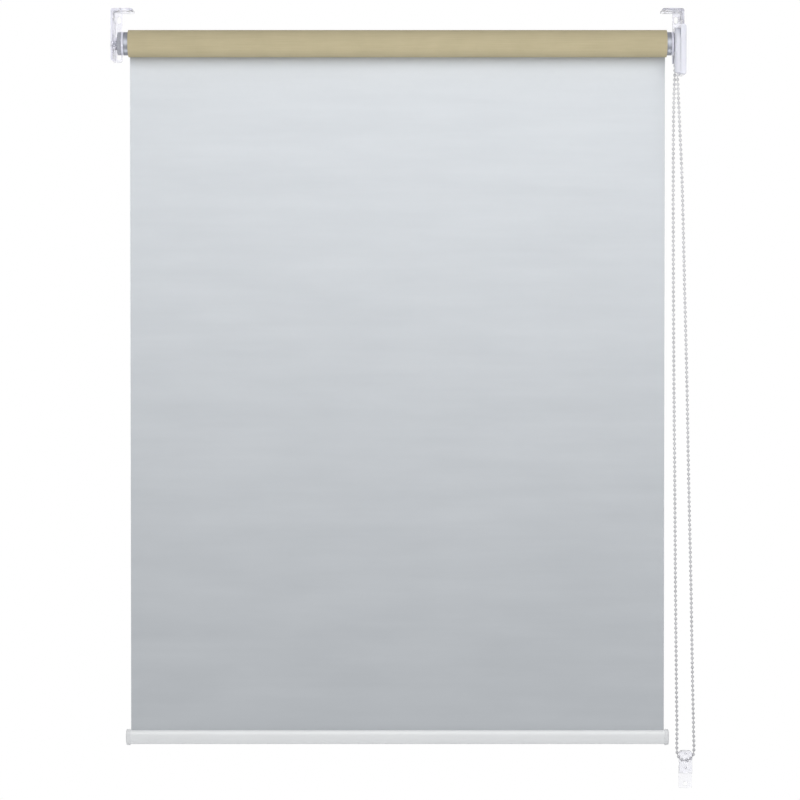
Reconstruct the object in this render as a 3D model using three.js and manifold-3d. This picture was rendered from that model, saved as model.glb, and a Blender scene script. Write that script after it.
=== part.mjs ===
// A roller blind between two clear brackets, drawn up by a bead chain on the right.
// Millimetres, +Z up, +X to the right, +Y towards the wall behind the blind.
// The origin lies on the ceiling plane, above the middle of the roller axis.
// Inside the roller group, Z is measured from the roller axis.

import * as THREE from "three";
import { mergeVertices } from "three/addons/utils/BufferGeometryUtils.js";
import Module from "manifold-3d";

const wasm = await Module();
wasm.setup();

// Clearances and cutting
const fitGap = 0.3; // between pieces that rest on each other
const looseGap = 0.6; // where a piece turns past another without touching
const overrun = 1; // how far a cutting shape passes the face that it opens

// Fabric and roll
const fabricWidth = 696;
const fabricThickness = 0.44;
const drop = 902; // roller axis to the middle of the bottom bar
const spareTurns = 5; // turns of fabric left on the tube at this drop

// Roller tube, with a folded seam inside that keys the plugs
const tubeRadius = 15;
const tubeWall = 1;
const tubeOverhang = 6; // bare tube past each edge of the fabric
const keyWidth = 2;
const keyHeight = 1.5;
const keyClearance = 0.3;

// Brackets
const ceilingDrop = 44; // ceiling plane to roller axis
const wallDistance = 25; // roller axis to wall plane
const bracketFront = 17.5; // roller axis to the front edge
const bracketBelowAxis = 22;
const plateThickness = 2.5;
const ceilingFlangeLength = 27.5;
const wallFlangeWidth = 11.3;
const flangeCorner = 3;
const outerCorner = 2.5;
const screwSlotWidth = 5;
const ceilingSlotLength = 11;
const ceilingSlotSpacing = 21; // between the middles of a flange's two slots
const ceilingSlotInset = 11; // flange end to the middle of its slots
const wallSlotLength = 9;
const wallSlotInset = 4.5; // flange edge to the middle of its slots
const upperSlotBelowCeiling = 11;
const lowerSlotAboveEnd = 7.5;
const latchGrooveHeight = 2.4;
const latchGrooveDepth = 0.9;
const latchGrooveBelowCeiling = 12.5;

// Idle end, on the left
const plugFlangeThickness = 2.6;
const plugLength = 36;
const plugWall = 2;
const plugPocketDepth = 24;
const plugWebAngle = 30; // degrees of each web between the pockets
const adjusterThickness = 4.7;
const adjusterBelowTube = 0.2; // how far the wheel's rim lies inside the tube's outline
const adjusterFlutes = 24;
const fluteDepth = 0.6;
const fluteSteps = 4; // points along the rim for each flute
const hubRadius = 6.4;
const hubLength = 7.4;
const hubClearance = 0.3;
const snapRidge = 0.55; // how far the ridge on the hub stands out
const snapRidgeWidth = 1;
const snapRidgeDepth = 4; // wheel face to ridge
const bossGap = 0.8; // adjuster wheel to bearing boss
const bossHeight = 4.3;
const bossRadius = 8;
const pinRadius = 3;
const pinClearance = 0.25;
const pinTipInset = 0.9; // pin tip to the bracket's outer face
const pinRoundLength = 15.4;
const pinTailLength = 27.2;
const pinTailWidth = 4.2;
const pinTipChamfer = 0.8;
const tailClearance = 0.3;
const roundBoreLength = 4.5; // of the plug, between hub seat and square bore

// Bead chain and its wheel, on the right
const beadDiameter = 4.5;
const beadPitch = 6;
const beadSideGap = 0.25;
const beadGap = 0.35;
const stringDiameter = 1.2;
const pockets = 17;
const pocketRadius = 3.2;
const pocketFacets = 2; // facets of the wheel's rim for each pocket
const wheelBeadGap = 0.3;

// Chain housing
const housingBackWall = 1.1;
const housingFace = 1;
const housingWall = 2.1;
const housingFloorBelowAxis = 15.6;
const housingFloorWall = 1.5;
const chuteWall = 1.2;
const farChuteDrop = 24.2; // roller axis to the mouth of the chute nearer the wall
const nearChuteDrop = 39; // roller axis to the mouth of the chute at the front
const faceBoreGap = 1.2; // chain wheel's fingers to the bore of the face
const housingPegRadius = 1.5;
const housingPegLength = 1.7;
const housingPegCircle = 15;
const housingPegs = 3;
const pegClearance = 0.3;

// Brake inside the tube
const spindleShare = 0.475; // spindle radius as a share of the drive core's radius
const spindleInboard = 52.5; // spindle end to housing back, inside the tube
const spindleFlangeRadius = 10;
const spindleTailWidth = 8.4;
const spindleTailLength = 4.7;
const spindleWall = 3.3;
const screwHoleLength = 19;
const tailWindowClearance = 0.3;
const clipGroove = 0.9; // depth of the spindle's groove
const clipWidth = 1.1;
const clipStandOut = 2.1; // spindle to the clip's rim
const clipClearance = 0.2;
const clipMouthWidth = 7;
const clipInset = 2.7; // spindle end to clip
const coreEndWall = 2;
const coreCollarThickness = 2.5;
const coreWall = 2.3;
const coreRunGap = 0.4; // drive core to the chain wheel's fingers
const springRunGap = 0.4; // fingers to springs
const fingerAngle = 70; // degrees, for each finger and each lug
const fingerEndGap = 1;
const lugEndInset = 5;
const springWire = 1;
const springSeatGap = 0.4;
const springTurns = 8; // whole turns, before the stretch past the finger
const springLength = 14;
const springTang = 2.4;
const tangBendShare = 0.3;
const tangMargin = 5; // degrees from the finger to the end of the coil
const tangLean = 9; // degrees
const springSpacing = 17.5; // middle to middle
const springInset = 10.6; // chain wheel to the middle of the outer spring
const screwRadius = 1.5;
const screwLength = 17.5;
const screwClearance = 0.25;
const screwHeadRadius = 3.6;
const screwHeadHeight = 2.1;
const washerRadius = 6;
const washerThickness = 0.9;
const recessWidth = 0.9;
const recessLength = 4.4;
const recessDepth = 1.1;

// Carrier that joins the chain drive to the right bracket
const carrierInnerWall = 1.9;
const carrierOuterWall = 2.4;
const carrierFrontWall = 1.8;
const carrierFloorWall = 1.7;
const carrierTop = 23.6;
const carrierBottom = 40.7;
const carrierInnerBottom = 23.8;
const carrierBack = 14; // roller axis to the carrier's rear edge
const carrierChamfer = 2.4;
const carrierCorner = 2;
const carrierBackTop = 24.6; // roller axis down to the top of the short rear wall

// Bottom bar
const barHeight = 18.6;
const barThickness = 9;
const barWall = 1.2;
const barPastFabric = 0.8;
const barSlotWidth = 1.6;
const stripWidth = 2.6;
const stripHeight = 6;
const stripTop = 7; // middle of the bar to the top of the strip
const stripShort = 1; // strip end to bar end
const capProud = 1.3; // cap outline past the bar's outline
const capThickness = 3.8;
const capDome = 2;
const spigotLength = 8;
const spigotWidth = 4;
const spigotTop = 0.5;
const spigotBottom = 5.5;

// Chain tensioner, hanging in the bottom of the loop
const tensionerX = 374.5;
const tensionerWidth = 16.8;
const loopRadius = 10.85; // bend of the chain under the tensioner's peg
const loopCentreDrop = 963; // ceiling plane to the middle of that bend
const tensionerAbove = 2; // top edge above the middle of the bend
const tensionerBottom = 47; // middle of the bend to the bottom edge
const tensionerPlateBottom = 27; // middle of the bend to the front plate's lower edge
const tensionerTopCorner = 4;
const tensionerCorner = 1.8;
const tensionerBackWall = 1.65;
const tensionerPlate = 1.5;
const tensionerTab = 3;
const tensionerHoleWidth = 5.2;
const tensionerHoleCorner = 1;
const tensionerHoleInset = 5.4; // bottom edge to the middle of the hole
const clipPinRadius = 1.2;
const clipPinLength = 2.6;
const upperClipPinBelow = 1.5; // middle of the bend to the upper clip pin
const lowerClipPinBelow = 20;

// The free chain, from the front chute round the tensioner to the rear chute, measured from the origin
const chainRoute = [
  [360.9, -16.2, -83.3],
  [361.2, -16.2, -94],
  [363.4, -15.7, -140],
  [367.2, -14.5, -221],
  [370.8, -12.3, -351],
  [374.4, -10, -481],
  [377.3, -7.5, -611],
  [380.7, -4.8, -741],
  [383.4, -2, -870],
  [385, -0.4, -934],
  [385.35, 0, -963],
  [383.9, 0, -968.42],
  [379.92, 0, -972.4],
  [374.5, 0, -973.85],
  [369.08, 0, -972.4],
  [365.1, 0, -968.42],
  [363.65, 0, -963],
  [363.5, 0.4, -934],
  [362.8, 2, -870],
  [361.6, 4.8, -741],
  [360.8, 7.5, -611],
  [359.7, 10, -481],
  [359, 12.3, -351],
  [358.8, 14.5, -221],
  [359.3, 15.7, -130],
  [360.7, 16.2, -80],
  [360.9, 16.2, -68.5],
];

// How finely round things are drawn
const roundSteps = 36;
const fineSteps = 60;
const smallSteps = 12;
const cornerSteps = 2;
const sectorSteps = 3;
const ovalSteps = 16;
const bendSteps = 10;
const capSteps = 10;
const bevelSteps = 3;
const beadSteps = 6;
const springStepsPerTurn = 10;
const springSides = 5;
const chainSides = 8;
const chainStepsPerPoint = 3;

// Places along the roller, worked out from the sizes above
const fabricEdge = fabricWidth / 2;
const tubeEnd = fabricEdge + tubeOverhang;
const tubeBore = tubeRadius - tubeWall;
const plugRadius = tubeBore - fitGap;
const keyTip = tubeBore - keyHeight;
const adjusterRadius = tubeRadius - adjusterBelowTube;
const coreBoreRadius = plugRadius - coreWall;
const fingerOuterRadius = coreBoreRadius - coreRunGap;
const spindleRadius = plugRadius * spindleShare;
const fingerInnerRadius = spindleRadius + springSeatGap + springWire + springRunGap;
const spindleBoreRadius = spindleRadius - spindleWall;
const clipRadius = spindleRadius + clipStandOut;
const faceBoreRadius = fingerOuterRadius + faceBoreGap;
const rollRadius = tubeRadius + fitGap + spareTurns * fabricThickness;
const sheetNear = rollRadius - fabricThickness + fitGap;
const sheetFar = sheetNear + fabricThickness;
const sheetMiddle = (sheetNear + sheetFar) / 2;
const plugFace = tubeEnd + fitGap + plugFlangeThickness;
const adjusterInner = plugFace + fitGap;
const adjusterOuter = adjusterInner + adjusterThickness;
const plateInner = adjusterOuter + bossGap + bossHeight;
const plateOuter = plateInner + plateThickness;
const carrierInnerFace = plateInner - fitGap - carrierInnerWall;
const carrierOuterFace = plateOuter + fitGap + carrierOuterWall;
const housingBack = carrierInnerFace - fitGap;
const chamberBack = housingBack - housingBackWall;
const chamberFront = chamberBack - beadDiameter - 2 * beadSideGap;
const housingFront = chamberFront + fitGap;
const faceFront = chamberFront - housingFace;
const wheelPlane = (chamberFront + chamberBack) / 2;
const wheelInner = chamberFront + fitGap;
const wheelOuter = chamberBack - fitGap;
const pitchRadius = (pockets * beadPitch) / (2 * Math.PI);
const chamberRadius = pitchRadius + beadDiameter / 2 + beadGap;
const housingRadius = chamberRadius + housingWall;
const wheelRadius = pitchRadius - beadDiameter / 2 - wheelBeadGap;
const spindleEnd = housingBack - spindleInboard;
const clipFace = spindleEnd + clipInset;
const coreEnd = clipFace + clipWidth + clipClearance + fitGap;
const coreFloor = coreEnd + coreEndWall;
const coreCollar = tubeEnd + fitGap;
const coreFace = coreCollar + coreCollarThickness;
const barEnd = fabricEdge + barPastFabric;

const degrees = Math.PI / 180;
const wholeTurn = 360;
const upright = 90; // from +Y to +Z
const axisX = new THREE.Vector3(1, 0, 0);
const axisY = new THREE.Vector3(0, 1, 0);
const axisZ = new THREE.Vector3(0, 0, 1);

// Materials
function finish(color, roughness, metalness = 0) {
  return new THREE.MeshStandardMaterial({ color, roughness, metalness });
}
const clearPlastic = finish("#dcdcf2", 0.15);
const beigeFabric = finish("#b9b18d", 0.9);
const silverFabric = finish("#bfc3c7", 0.6);
const tubeSteel = finish("#a9abb4", 0.3, 0.9);
const springSteel = finish("#6f7278", 0.35, 0.9);
const whitePlastic = finish("#eceef0", 0.4);
const greyPlastic = finish("#b4b7c2", 0.45);
const whiteCoated = finish("#e6e9eb", 0.35, 0.1);
const beadPlastic = finish("#b9bbbc", 0.35);

// A closed geometry as a solid that can be joined and cut
function solid(geometry) {
  geometry.deleteAttribute("normal");
  geometry.deleteAttribute("uv");
  const merged = mergeVertices(geometry);
  const vertProperties = merged.attributes.position.array;
  const triVerts = Uint32Array.from(merged.index.array);
  return new wasm.Manifold(new wasm.Mesh({ numProp: 3, vertProperties, triVerts }));
}

// A named piece of the blind, made from a solid
function addPiece(group, name, material, shape) {
  const { vertProperties, triVerts } = shape.getMesh();
  const geometry = new THREE.BufferGeometry();
  geometry.setAttribute("position", new THREE.BufferAttribute(vertProperties, 3));
  geometry.setIndex(new THREE.BufferAttribute(triVerts, 1));
  geometry.computeVertexNormals();
  const mesh = new THREE.Mesh(geometry, material);
  mesh.name = name;
  group.add(mesh);
}

// A block between two places on each axis
function block([x0, x1], [y0, y1], [z0, z1]) {
  const geometry = new THREE.BoxGeometry(x1 - x0, y1 - y0, z1 - z0);
  geometry.translate((x0 + x1) / 2, (y0 + y1) / 2, (z0 + z1) / 2);
  return solid(geometry);
}

// A piece turned about the roller axis, from [x, radius] points that run towards +X
function turned(points, steps = roundSteps) {
  const profile = points.map(([x, radius]) => new THREE.Vector2(radius, x));
  const geometry = new THREE.LatheGeometry(profile, steps);
  geometry.rotateZ(-Math.PI / 2);
  return solid(geometry);
}

// A round bar along the roller axis
function bar(x0, x1, radius, steps = roundSteps) {
  return turned([[x0, 0], [x0, radius], [x1, radius], [x1, 0]], steps);
}

// A ring about the roller axis
function ring(x0, x1, inner, outer, steps = roundSteps) {
  return bar(x0, x1, outer, steps).subtract(bar(x0 - overrun, x1 + overrun, inner, steps));
}

// Flat outlines pushed along X from (y, z), along Y from (x, z) and along Z from (x, y)
function plateX(shape, [x0, x1], curveSegments = cornerSteps) {
  const geometry = new THREE.ExtrudeGeometry(shape, { depth: x1 - x0, bevelEnabled: false, curveSegments });
  geometry.applyMatrix4(new THREE.Matrix4().makeBasis(axisY, axisZ, axisX));
  geometry.translate(x0, 0, 0);
  return solid(geometry);
}
function plateY(shape, [y0, y1], curveSegments = cornerSteps) {
  const geometry = new THREE.ExtrudeGeometry(shape, { depth: y1 - y0, bevelEnabled: false, curveSegments });
  geometry.applyMatrix4(new THREE.Matrix4().makeBasis(axisX, axisZ, axisY.clone().negate()));
  geometry.translate(0, y1, 0);
  return solid(geometry);
}
function plateZ(shape, [z0, z1], curveSegments = cornerSteps) {
  const geometry = new THREE.ExtrudeGeometry(shape, { depth: z1 - z0, bevelEnabled: false, curveSegments });
  geometry.translate(0, 0, z0);
  return solid(geometry);
}

// A rectangle whose four corner radii run from low-low round to low-high
function rounded([u0, u1], [v0, v1], [a, b, c, d]) {
  const shape = new THREE.Shape();
  shape.moveTo(u0 + a, v0);
  shape.lineTo(u1 - b, v0);
  if (b > 0) shape.absarc(u1 - b, v0 + b, b, -Math.PI / 2, 0);
  shape.lineTo(u1, v1 - c);
  if (c > 0) shape.absarc(u1 - c, v1 - c, c, 0, Math.PI / 2);
  shape.lineTo(u0 + d, v1);
  if (d > 0) shape.absarc(u0 + d, v1 - d, d, Math.PI / 2, Math.PI);
  shape.lineTo(u0, v0 + a);
  if (a > 0) shape.absarc(u0 + a, v0 + a, a, Math.PI, Math.PI * 1.5);
  return shape;
}

// An oval slot about (u, v), long along v, or along u where the width is the larger number
function slot(u, v, width, length) {
  const corner = Math.min(width, length) / 2;
  return rounded([u - width / 2, u + width / 2], [v - length / 2, v + length / 2], Array(4).fill(corner));
}

// A stretch of X on one side of the blind, from its lower to its higher end
function along(side, near, far) {
  return side > 0 ? [near, far] : [-far, -near];
}

// A regular polygon, as the section of a round wire or cord
function polygon(sides, radius) {
  const shape = new THREE.Shape();
  for (let i = 0; i < sides; i += 1) {
    const angle = (i / sides) * 2 * Math.PI;
    const place = [radius * Math.cos(angle), radius * Math.sin(angle)];
    if (i === 0) shape.moveTo(...place);
    else shape.lineTo(...place);
  }
  return shape;
}

// A wedge of a ring about the roller axis, between two angles from +Y towards +Z
function sector(x0, x1, inner, outer, middle, width) {
  const from = (middle - width / 2) * degrees;
  const to = (middle + width / 2) * degrees;
  const shape = new THREE.Shape();
  shape.absarc(0, 0, outer, from, to);
  shape.absarc(0, 0, inner, to, from, true);
  return plateX(shape, [x0, x1], sectorSteps);
}

// The groove for the tube's inner seam, along the bottom of a plug
function keyway(x0, x1) {
  const half = keyWidth / 2 + keyClearance;
  const top = keyTip - keyClearance;
  return block([x0 - overrun, x1 + overrun], [-half, half], [-tubeRadius - overrun, -top]);
}

// A bracket: side plate and ceiling flange in one bend, with a wall flange behind
function bracketBlank(side) {
  const flangeEnd = plateOuter - ceilingFlangeLength;
  const under = ceilingDrop - plateThickness;
  const bend = new THREE.Shape();
  bend.moveTo(side * flangeEnd, ceilingDrop);
  bend.lineTo(side * flangeEnd, under);
  bend.lineTo(side * plateInner, under);
  bend.lineTo(side * plateInner, -bracketBelowAxis);
  bend.lineTo(side * plateOuter, -bracketBelowAxis);
  bend.lineTo(side * plateOuter, ceilingDrop - outerCorner);
  bend.quadraticCurveTo(side * plateOuter, ceilingDrop, side * (plateOuter - outerCorner), ceilingDrop);
  const depth = [-bracketFront, wallDistance];
  const profile = plateY(bend, depth);
  const sideOutline = rounded(depth, [-bracketBelowAxis, ceilingDrop], [flangeCorner, 0, 0, 0]);
  const sideKeep = plateX(sideOutline, along(side, plateInner - overrun, plateOuter + overrun));
  const sideCut = block(
    along(side, plateInner - overrun / 2, plateOuter + overrun),
    [-bracketFront - overrun, wallDistance + overrun],
    [-bracketBelowAxis - overrun, under - overrun],
  ).subtract(sideKeep);
  const flangeX = along(side, flangeEnd, plateOuter);
  const innerCorners = side > 0 ? [flangeCorner, 0, 0, flangeCorner] : [0, flangeCorner, flangeCorner, 0];
  const topKeep = plateZ(rounded(flangeX, depth, innerCorners), [-bracketBelowAxis, ceilingDrop]);
  return profile.subtract(sideCut).intersect(topKeep).add(wallFlange(side));
}

function wallFlange(side) {
  const across = along(side, plateOuter - wallFlangeWidth, plateOuter - outerCorner / 2);
  const corners = side > 0 ? [flangeCorner, 0, 0, 0] : [0, flangeCorner, 0, 0];
  const outline = rounded(across, [-bracketBelowAxis, ceilingDrop - plateThickness / 2], corners);
  return plateY(outline, [wallDistance - plateThickness, wallDistance]);
}

// The screw slots through both flanges and the latch groove across the side plate
function bracketCuts(side) {
  const slotX = side * (plateOuter - ceilingFlangeLength + ceilingSlotInset);
  const slotY = (wallDistance - bracketFront) / 2;
  const through = [ceilingDrop - plateThickness - overrun, ceilingDrop + overrun];
  const ceilingSlots = [-1, 1].map((end) =>
    plateZ(slot(slotX, slotY + (end * ceilingSlotSpacing) / 2, ceilingSlotLength, screwSlotWidth), through),
  );
  const wallX = side * (plateOuter - wallFlangeWidth + wallSlotInset);
  const slotHeights = [ceilingDrop - upperSlotBelowCeiling, -bracketBelowAxis + lowerSlotAboveEnd];
  const wallDepth = [wallDistance - plateThickness - overrun, wallDistance + overrun];
  const wallSlots = slotHeights.map((z) => plateY(slot(wallX, z, screwSlotWidth, wallSlotLength), wallDepth));
  const grooveTop = ceilingDrop - latchGrooveBelowCeiling;
  const groove = block(
    along(side, plateInner - overrun, plateInner + latchGrooveDepth),
    [-bracketFront - overrun, wallDistance - plateThickness],
    [grooveTop - latchGrooveHeight, grooveTop],
  );
  return [...ceilingSlots, ...wallSlots, groove];
}

function cutAll(shape, cuts) {
  return cuts.reduce((rest, cut) => rest.subtract(cut), shape);
}

function joinAll(shapes) {
  return shapes.reduce((whole, shape) => whole.add(shape));
}

function leftBracket() {
  const bossFace = -plateInner + bossHeight;
  const boss = bar(-plateInner - overrun, bossFace, bossRadius);
  const bore = bar(-plateOuter - overrun, bossFace + overrun, pinRadius + pinClearance, smallSteps);
  return cutAll(bracketBlank(-1).add(boss), bracketCuts(-1)).subtract(bore);
}

// The square window that keeps the spindle from turning
function tailWindow(x0, x1) {
  const half = spindleTailWidth / 2 + tailWindowClearance;
  return block([x0 - overrun, x1 + overrun], [-half, half], [-half, half]);
}

function rightBracket() {
  return cutAll(bracketBlank(1), bracketCuts(1)).subtract(tailWindow(plateInner, plateOuter));
}

// Places of the pegs that hold the chain housing on its carrier, as angles from +Y towards +Z
const pegAngles = Array.from({ length: housingPegs }, (_, i) => upright + (i * wholeTurn) / housingPegs);

function housingPegSet(x0, x1, radius) {
  return pegAngles.map((angle) => {
    const y = housingPegCircle * Math.cos(angle * degrees);
    const z = housingPegCircle * Math.sin(angle * degrees);
    return bar(x0, x1, radius, smallSteps).translate([0, y, z]);
  });
}

// The flat inner wall of the carrier, against the bracket's side plate
function carrierInner() {
  const across = [carrierInnerFace, carrierInnerFace + carrierInnerWall];
  const height = [-carrierInnerBottom, carrierTop - fitGap];
  const outline = rounded([-bracketFront, carrierBack], height, [carrierCorner, 0, 0, carrierCorner]);
  const holes = housingPegSet(across[0] - overrun, across[1] + overrun, housingPegRadius + pegClearance);
  return cutAll(plateX(outline, across), [...holes, tailWindow(...across)]);
}

// The deep outer shell of the carrier, open at the top and the back for the side plate
function carrierOuter() {
  const front = -bracketFront - fitGap - carrierFrontWall;
  const bottom = -carrierBottom;
  const outline = new THREE.Shape();
  outline.moveTo(carrierInnerFace, bottom);
  outline.lineTo(carrierOuterFace - carrierCorner, bottom);
  outline.quadraticCurveTo(carrierOuterFace, bottom, carrierOuterFace, bottom + carrierCorner);
  outline.lineTo(carrierOuterFace, carrierTop - carrierChamfer);
  outline.lineTo(carrierOuterFace - carrierChamfer, carrierTop);
  outline.lineTo(carrierInnerFace, carrierTop);
  const hollow = block(
    [carrierInnerFace - overrun, plateOuter + fitGap],
    [-bracketFront - fitGap, carrierBack + overrun],
    [bottom + carrierFloorWall, carrierTop + overrun],
  );
  const rearWall = block(
    [carrierInnerFace, plateOuter + fitGap + overrun],
    [carrierBack - carrierFrontWall, carrierBack],
    [bottom + carrierFloorWall / 2, -carrierBackTop],
  );
  const window = bar(plateOuter, carrierOuterFace + overrun, washerRadius + looseGap);
  return plateY(outline, [front, carrierBack]).subtract(hollow).add(rearWall).subtract(window);
}

// The outline shared by the chain housing and its face: a cut-off disc with two chutes
function housingBlank(x0, x1, radius, floor, chuteHalf, farDrop, nearDrop) {
  const disc = bar(x0, x1, radius, fineSteps);
  const reach = radius + overrun;
  const below = block([x0 - overrun, x1 + overrun], [-reach, reach], [-reach, -floor]);
  const chute = (y, length) => block([x0, x1], [y - chuteHalf, y + chuteHalf], [-length, 0]);
  return disc.subtract(below).add(chute(pitchRadius, farDrop)).add(chute(-pitchRadius, nearDrop));
}

function housingShape(x0, x1) {
  const chuteHalf = beadDiameter / 2 + beadGap + chuteWall;
  return housingBlank(x0, x1, housingRadius, housingFloorBelowAxis, chuteHalf, farChuteDrop, nearChuteDrop);
}

function clutchHousing() {
  const channelHalf = beadDiameter / 2 + beadGap;
  const floor = housingFloorBelowAxis - housingFloorWall;
  const chamber = housingBlank(
    housingFront - overrun, chamberBack, chamberRadius, floor,
    channelHalf, farChuteDrop + overrun, nearChuteDrop + overrun,
  );
  const seat = bar(chamberBack - overrun, housingBack + overrun, spindleFlangeRadius + fitGap);
  const pegRoot = housingBack - housingBackWall / 2;
  const pegs = housingPegSet(pegRoot, housingBack + housingPegLength, housingPegRadius);
  return joinAll([housingShape(housingFront, housingBack).subtract(chamber).subtract(seat), ...pegs]);
}

function clutchFace() {
  const bore = bar(faceFront - overrun, chamberFront + overrun, faceBoreRadius);
  return housingShape(faceFront, chamberFront).subtract(bore);
}

// The wheel that the beads sit round, with two fingers that reach into the drive core
function chainWheel() {
  const rim = ring(wheelInner, wheelOuter, spindleRadius + fitGap, wheelRadius, pockets * pocketFacets);
  const cups = Array.from({ length: pockets }, (_, i) => {
    const angle = ((i + 0.5) / pockets) * 2 * Math.PI;
    const cup = bar(wheelInner - overrun, wheelOuter + overrun, pocketRadius, smallSteps);
    return cup.translate([0, pitchRadius * Math.cos(angle), pitchRadius * Math.sin(angle)]);
  });
  const tip = coreFloor + fingerEndGap;
  const fingers = [upright, -upright].map((middle) =>
    sector(tip, wheelInner + overrun, fingerInnerRadius, fingerOuterRadius, middle, fingerAngle),
  );
  return joinAll([cutAll(rim, cups), ...fingers]);
}

// The fixed spindle: flange, square tail and a long shaft inside the tube
function clutchSpindle() {
  const half = spindleTailWidth / 2;
  const tailEnd = housingBack + spindleTailLength;
  const holeEnd = tailEnd - screwHoleLength;
  const tail = block([housingBack - overrun / 2, tailEnd], [-half, half], [-half, half]);
  const shaft = bar(spindleEnd, chamberBack + overrun / 2, spindleRadius);
  const flange = bar(chamberBack, housingBack, spindleFlangeRadius);
  const screwHole = bar(holeEnd, tailEnd + overrun, screwRadius + screwClearance, smallSteps);
  const bore = bar(spindleEnd - overrun, holeEnd + overrun, spindleBoreRadius, smallSteps);
  const groove = ring(
    clipFace - clipClearance, clipFace + clipWidth + clipClearance,
    spindleRadius - clipGroove, spindleRadius + overrun,
  );
  return cutAll(joinAll([shaft, flange, tail]), [screwHole, bore, groove]);
}

function spindleClip() {
  const inner = spindleRadius - clipGroove + clipClearance;
  const whole = ring(clipFace, clipFace + clipWidth, inner, clipRadius);
  const half = clipMouthWidth / 2;
  return whole.subtract(
    block([clipFace - overrun, clipFace + clipWidth + overrun], [-half, half], [-clipRadius - overrun, 0]),
  );
}

function spindleScrew() {
  const head = plateOuter + fitGap;
  const shank = bar(head - screwLength, head + overrun / 2, screwRadius, smallSteps);
  const washer = bar(head, head + washerThickness, washerRadius, roundSteps);
  const top = bar(head, head + screwHeadHeight, screwHeadRadius, roundSteps);
  const recessX = [head + screwHeadHeight - recessDepth, head + screwHeadHeight + overrun];
  const wide = [-recessLength / 2, recessLength / 2];
  const narrow = [-recessWidth / 2, recessWidth / 2];
  const recess = [block(recessX, wide, narrow), block(recessX, narrow, wide)];
  return cutAll(joinAll([shank, washer, top]), recess);
}

// The sleeve that turns the tube, with two lugs between the chain wheel's fingers
function driveCore() {
  const sleeve = ring(coreEnd, coreCollar + overrun, coreBoreRadius, plugRadius, fineSteps);
  const lugRadius = plugRadius - coreWall / 2;
  const endWall = ring(coreEnd, coreFloor, spindleRadius + fitGap, lugRadius);
  const lugX = [coreFloor - overrun / 2, coreFace - lugEndInset];
  const lugs = [0, 2 * upright].map((middle) =>
    sector(...lugX, fingerInnerRadius, lugRadius, middle, fingerAngle),
  );
  const collar = ring(coreCollar, coreFace, coreBoreRadius, tubeRadius, fineSteps);
  return joinAll([sleeve, endWall, ...lugs]).subtract(keyway(coreEnd, coreCollar - overrun)).add(collar);
}

// A brake spring wound round the spindle, its two ends turned out between finger and lug
function brakeSpring(middle) {
  const mean = spindleRadius + springSeatGap + springWire / 2;
  const start = upright - fingerAngle / 2 - tangMargin;
  const sweep = springTurns * wholeTurn + fingerAngle + 2 * tangMargin;
  const coilSteps = Math.round((sweep / wholeTurn) * springStepsPerTurn);
  const spot = (share, radius, lean) => {
    const angle = (start + share * sweep + lean) * degrees;
    const x = middle + (share - 0.5) * springLength;
    return new THREE.Vector3(x, radius * Math.cos(angle), radius * Math.sin(angle));
  };
  const coil = Array.from({ length: coilSteps + 1 }, (_, i) => spot(i / coilSteps, mean, 0));
  const bend = mean + springTang * tangBendShare;
  const points = [
    spot(0, mean + springTang, -tangLean),
    spot(0, bend, -tangLean),
    ...coil,
    spot(1, bend, tangLean),
    spot(1, mean + springTang, tangLean),
  ];
  const extrudePath = new Route(points, false, "centripetal");
  const steps = points.length - 1;
  return solid(new THREE.ExtrudeGeometry(polygon(springSides, springWire / 2), { steps, extrudePath }));
}

// A curve through chosen points whose steps follow the points and not the length
class Route extends THREE.CatmullRomCurve3 {
  getUtoTmapping(u) {
    return u;
  }
}

function rollerTube() {
  const half = keyWidth / 2;
  const seam = block([-tubeEnd, tubeEnd], [-half, half], [-tubeBore - tubeWall / 2, -keyTip]);
  return ring(-tubeEnd, tubeEnd, tubeBore, tubeRadius, fineSteps).add(seam);
}

// The wound fabric, whose last turn ends where the sheet leaves it on the wall side
function fabricRoll() {
  const outline = new THREE.Shape();
  for (let i = 0; i <= fineSteps; i += 1) {
    const share = i / fineSteps;
    const radius = rollRadius - share * fabricThickness;
    const angle = share * 2 * Math.PI;
    const place = [radius * Math.cos(angle), radius * Math.sin(angle)];
    if (i === 0) outline.moveTo(...place);
    else outline.lineTo(...place);
  }
  const bore = bar(-fabricEdge - overrun, fabricEdge + overrun, tubeRadius + fitGap, fineSteps);
  return plateX(outline, [-fabricEdge, fabricEdge]).subtract(bore);
}

// The plug in the left end of the tube, hollowed between four webs
function idlePlug() {
  const inner = -plugFace + plugLength;
  const body = bar(-tubeEnd - fitGap - overrun, inner, plugRadius, fineSteps);
  const flange = bar(-plugFace, -tubeEnd - fitGap, tubeRadius, fineSteps);
  const pocketStart = inner - plugPocketDepth;
  const pocketAngle = upright - plugWebAngle;
  const hollows = [-1.5, -0.5, 0.5, 1.5].map((turn) =>
    sector(pocketStart, inner + overrun, hubRadius, plugRadius - plugWall, turn * upright, pocketAngle),
  );
  const seatEnd = -adjusterInner + hubLength + fitGap;
  const seat = bar(-plugFace - overrun, seatEnd, hubRadius + hubClearance);
  const ridge = -adjusterInner + snapRidgeDepth;
  const groove = bar(ridge - fitGap, ridge + snapRidgeWidth + fitGap, hubRadius + snapRidge + fitGap);
  const roundBore = bar(seatEnd - overrun, seatEnd + roundBoreLength, pinRadius + pinClearance, smallSteps);
  const half = pinTailWidth / 2 + tailClearance;
  const squareBore = block([seatEnd, inner + overrun], [-half, half], [-half, half]);
  const slotted = body.subtract(keyway(-tubeEnd + overrun, inner));
  return cutAll(slotted.add(flange), [...hollows, seat, groove, roundBore, squareBore]);
}

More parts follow.
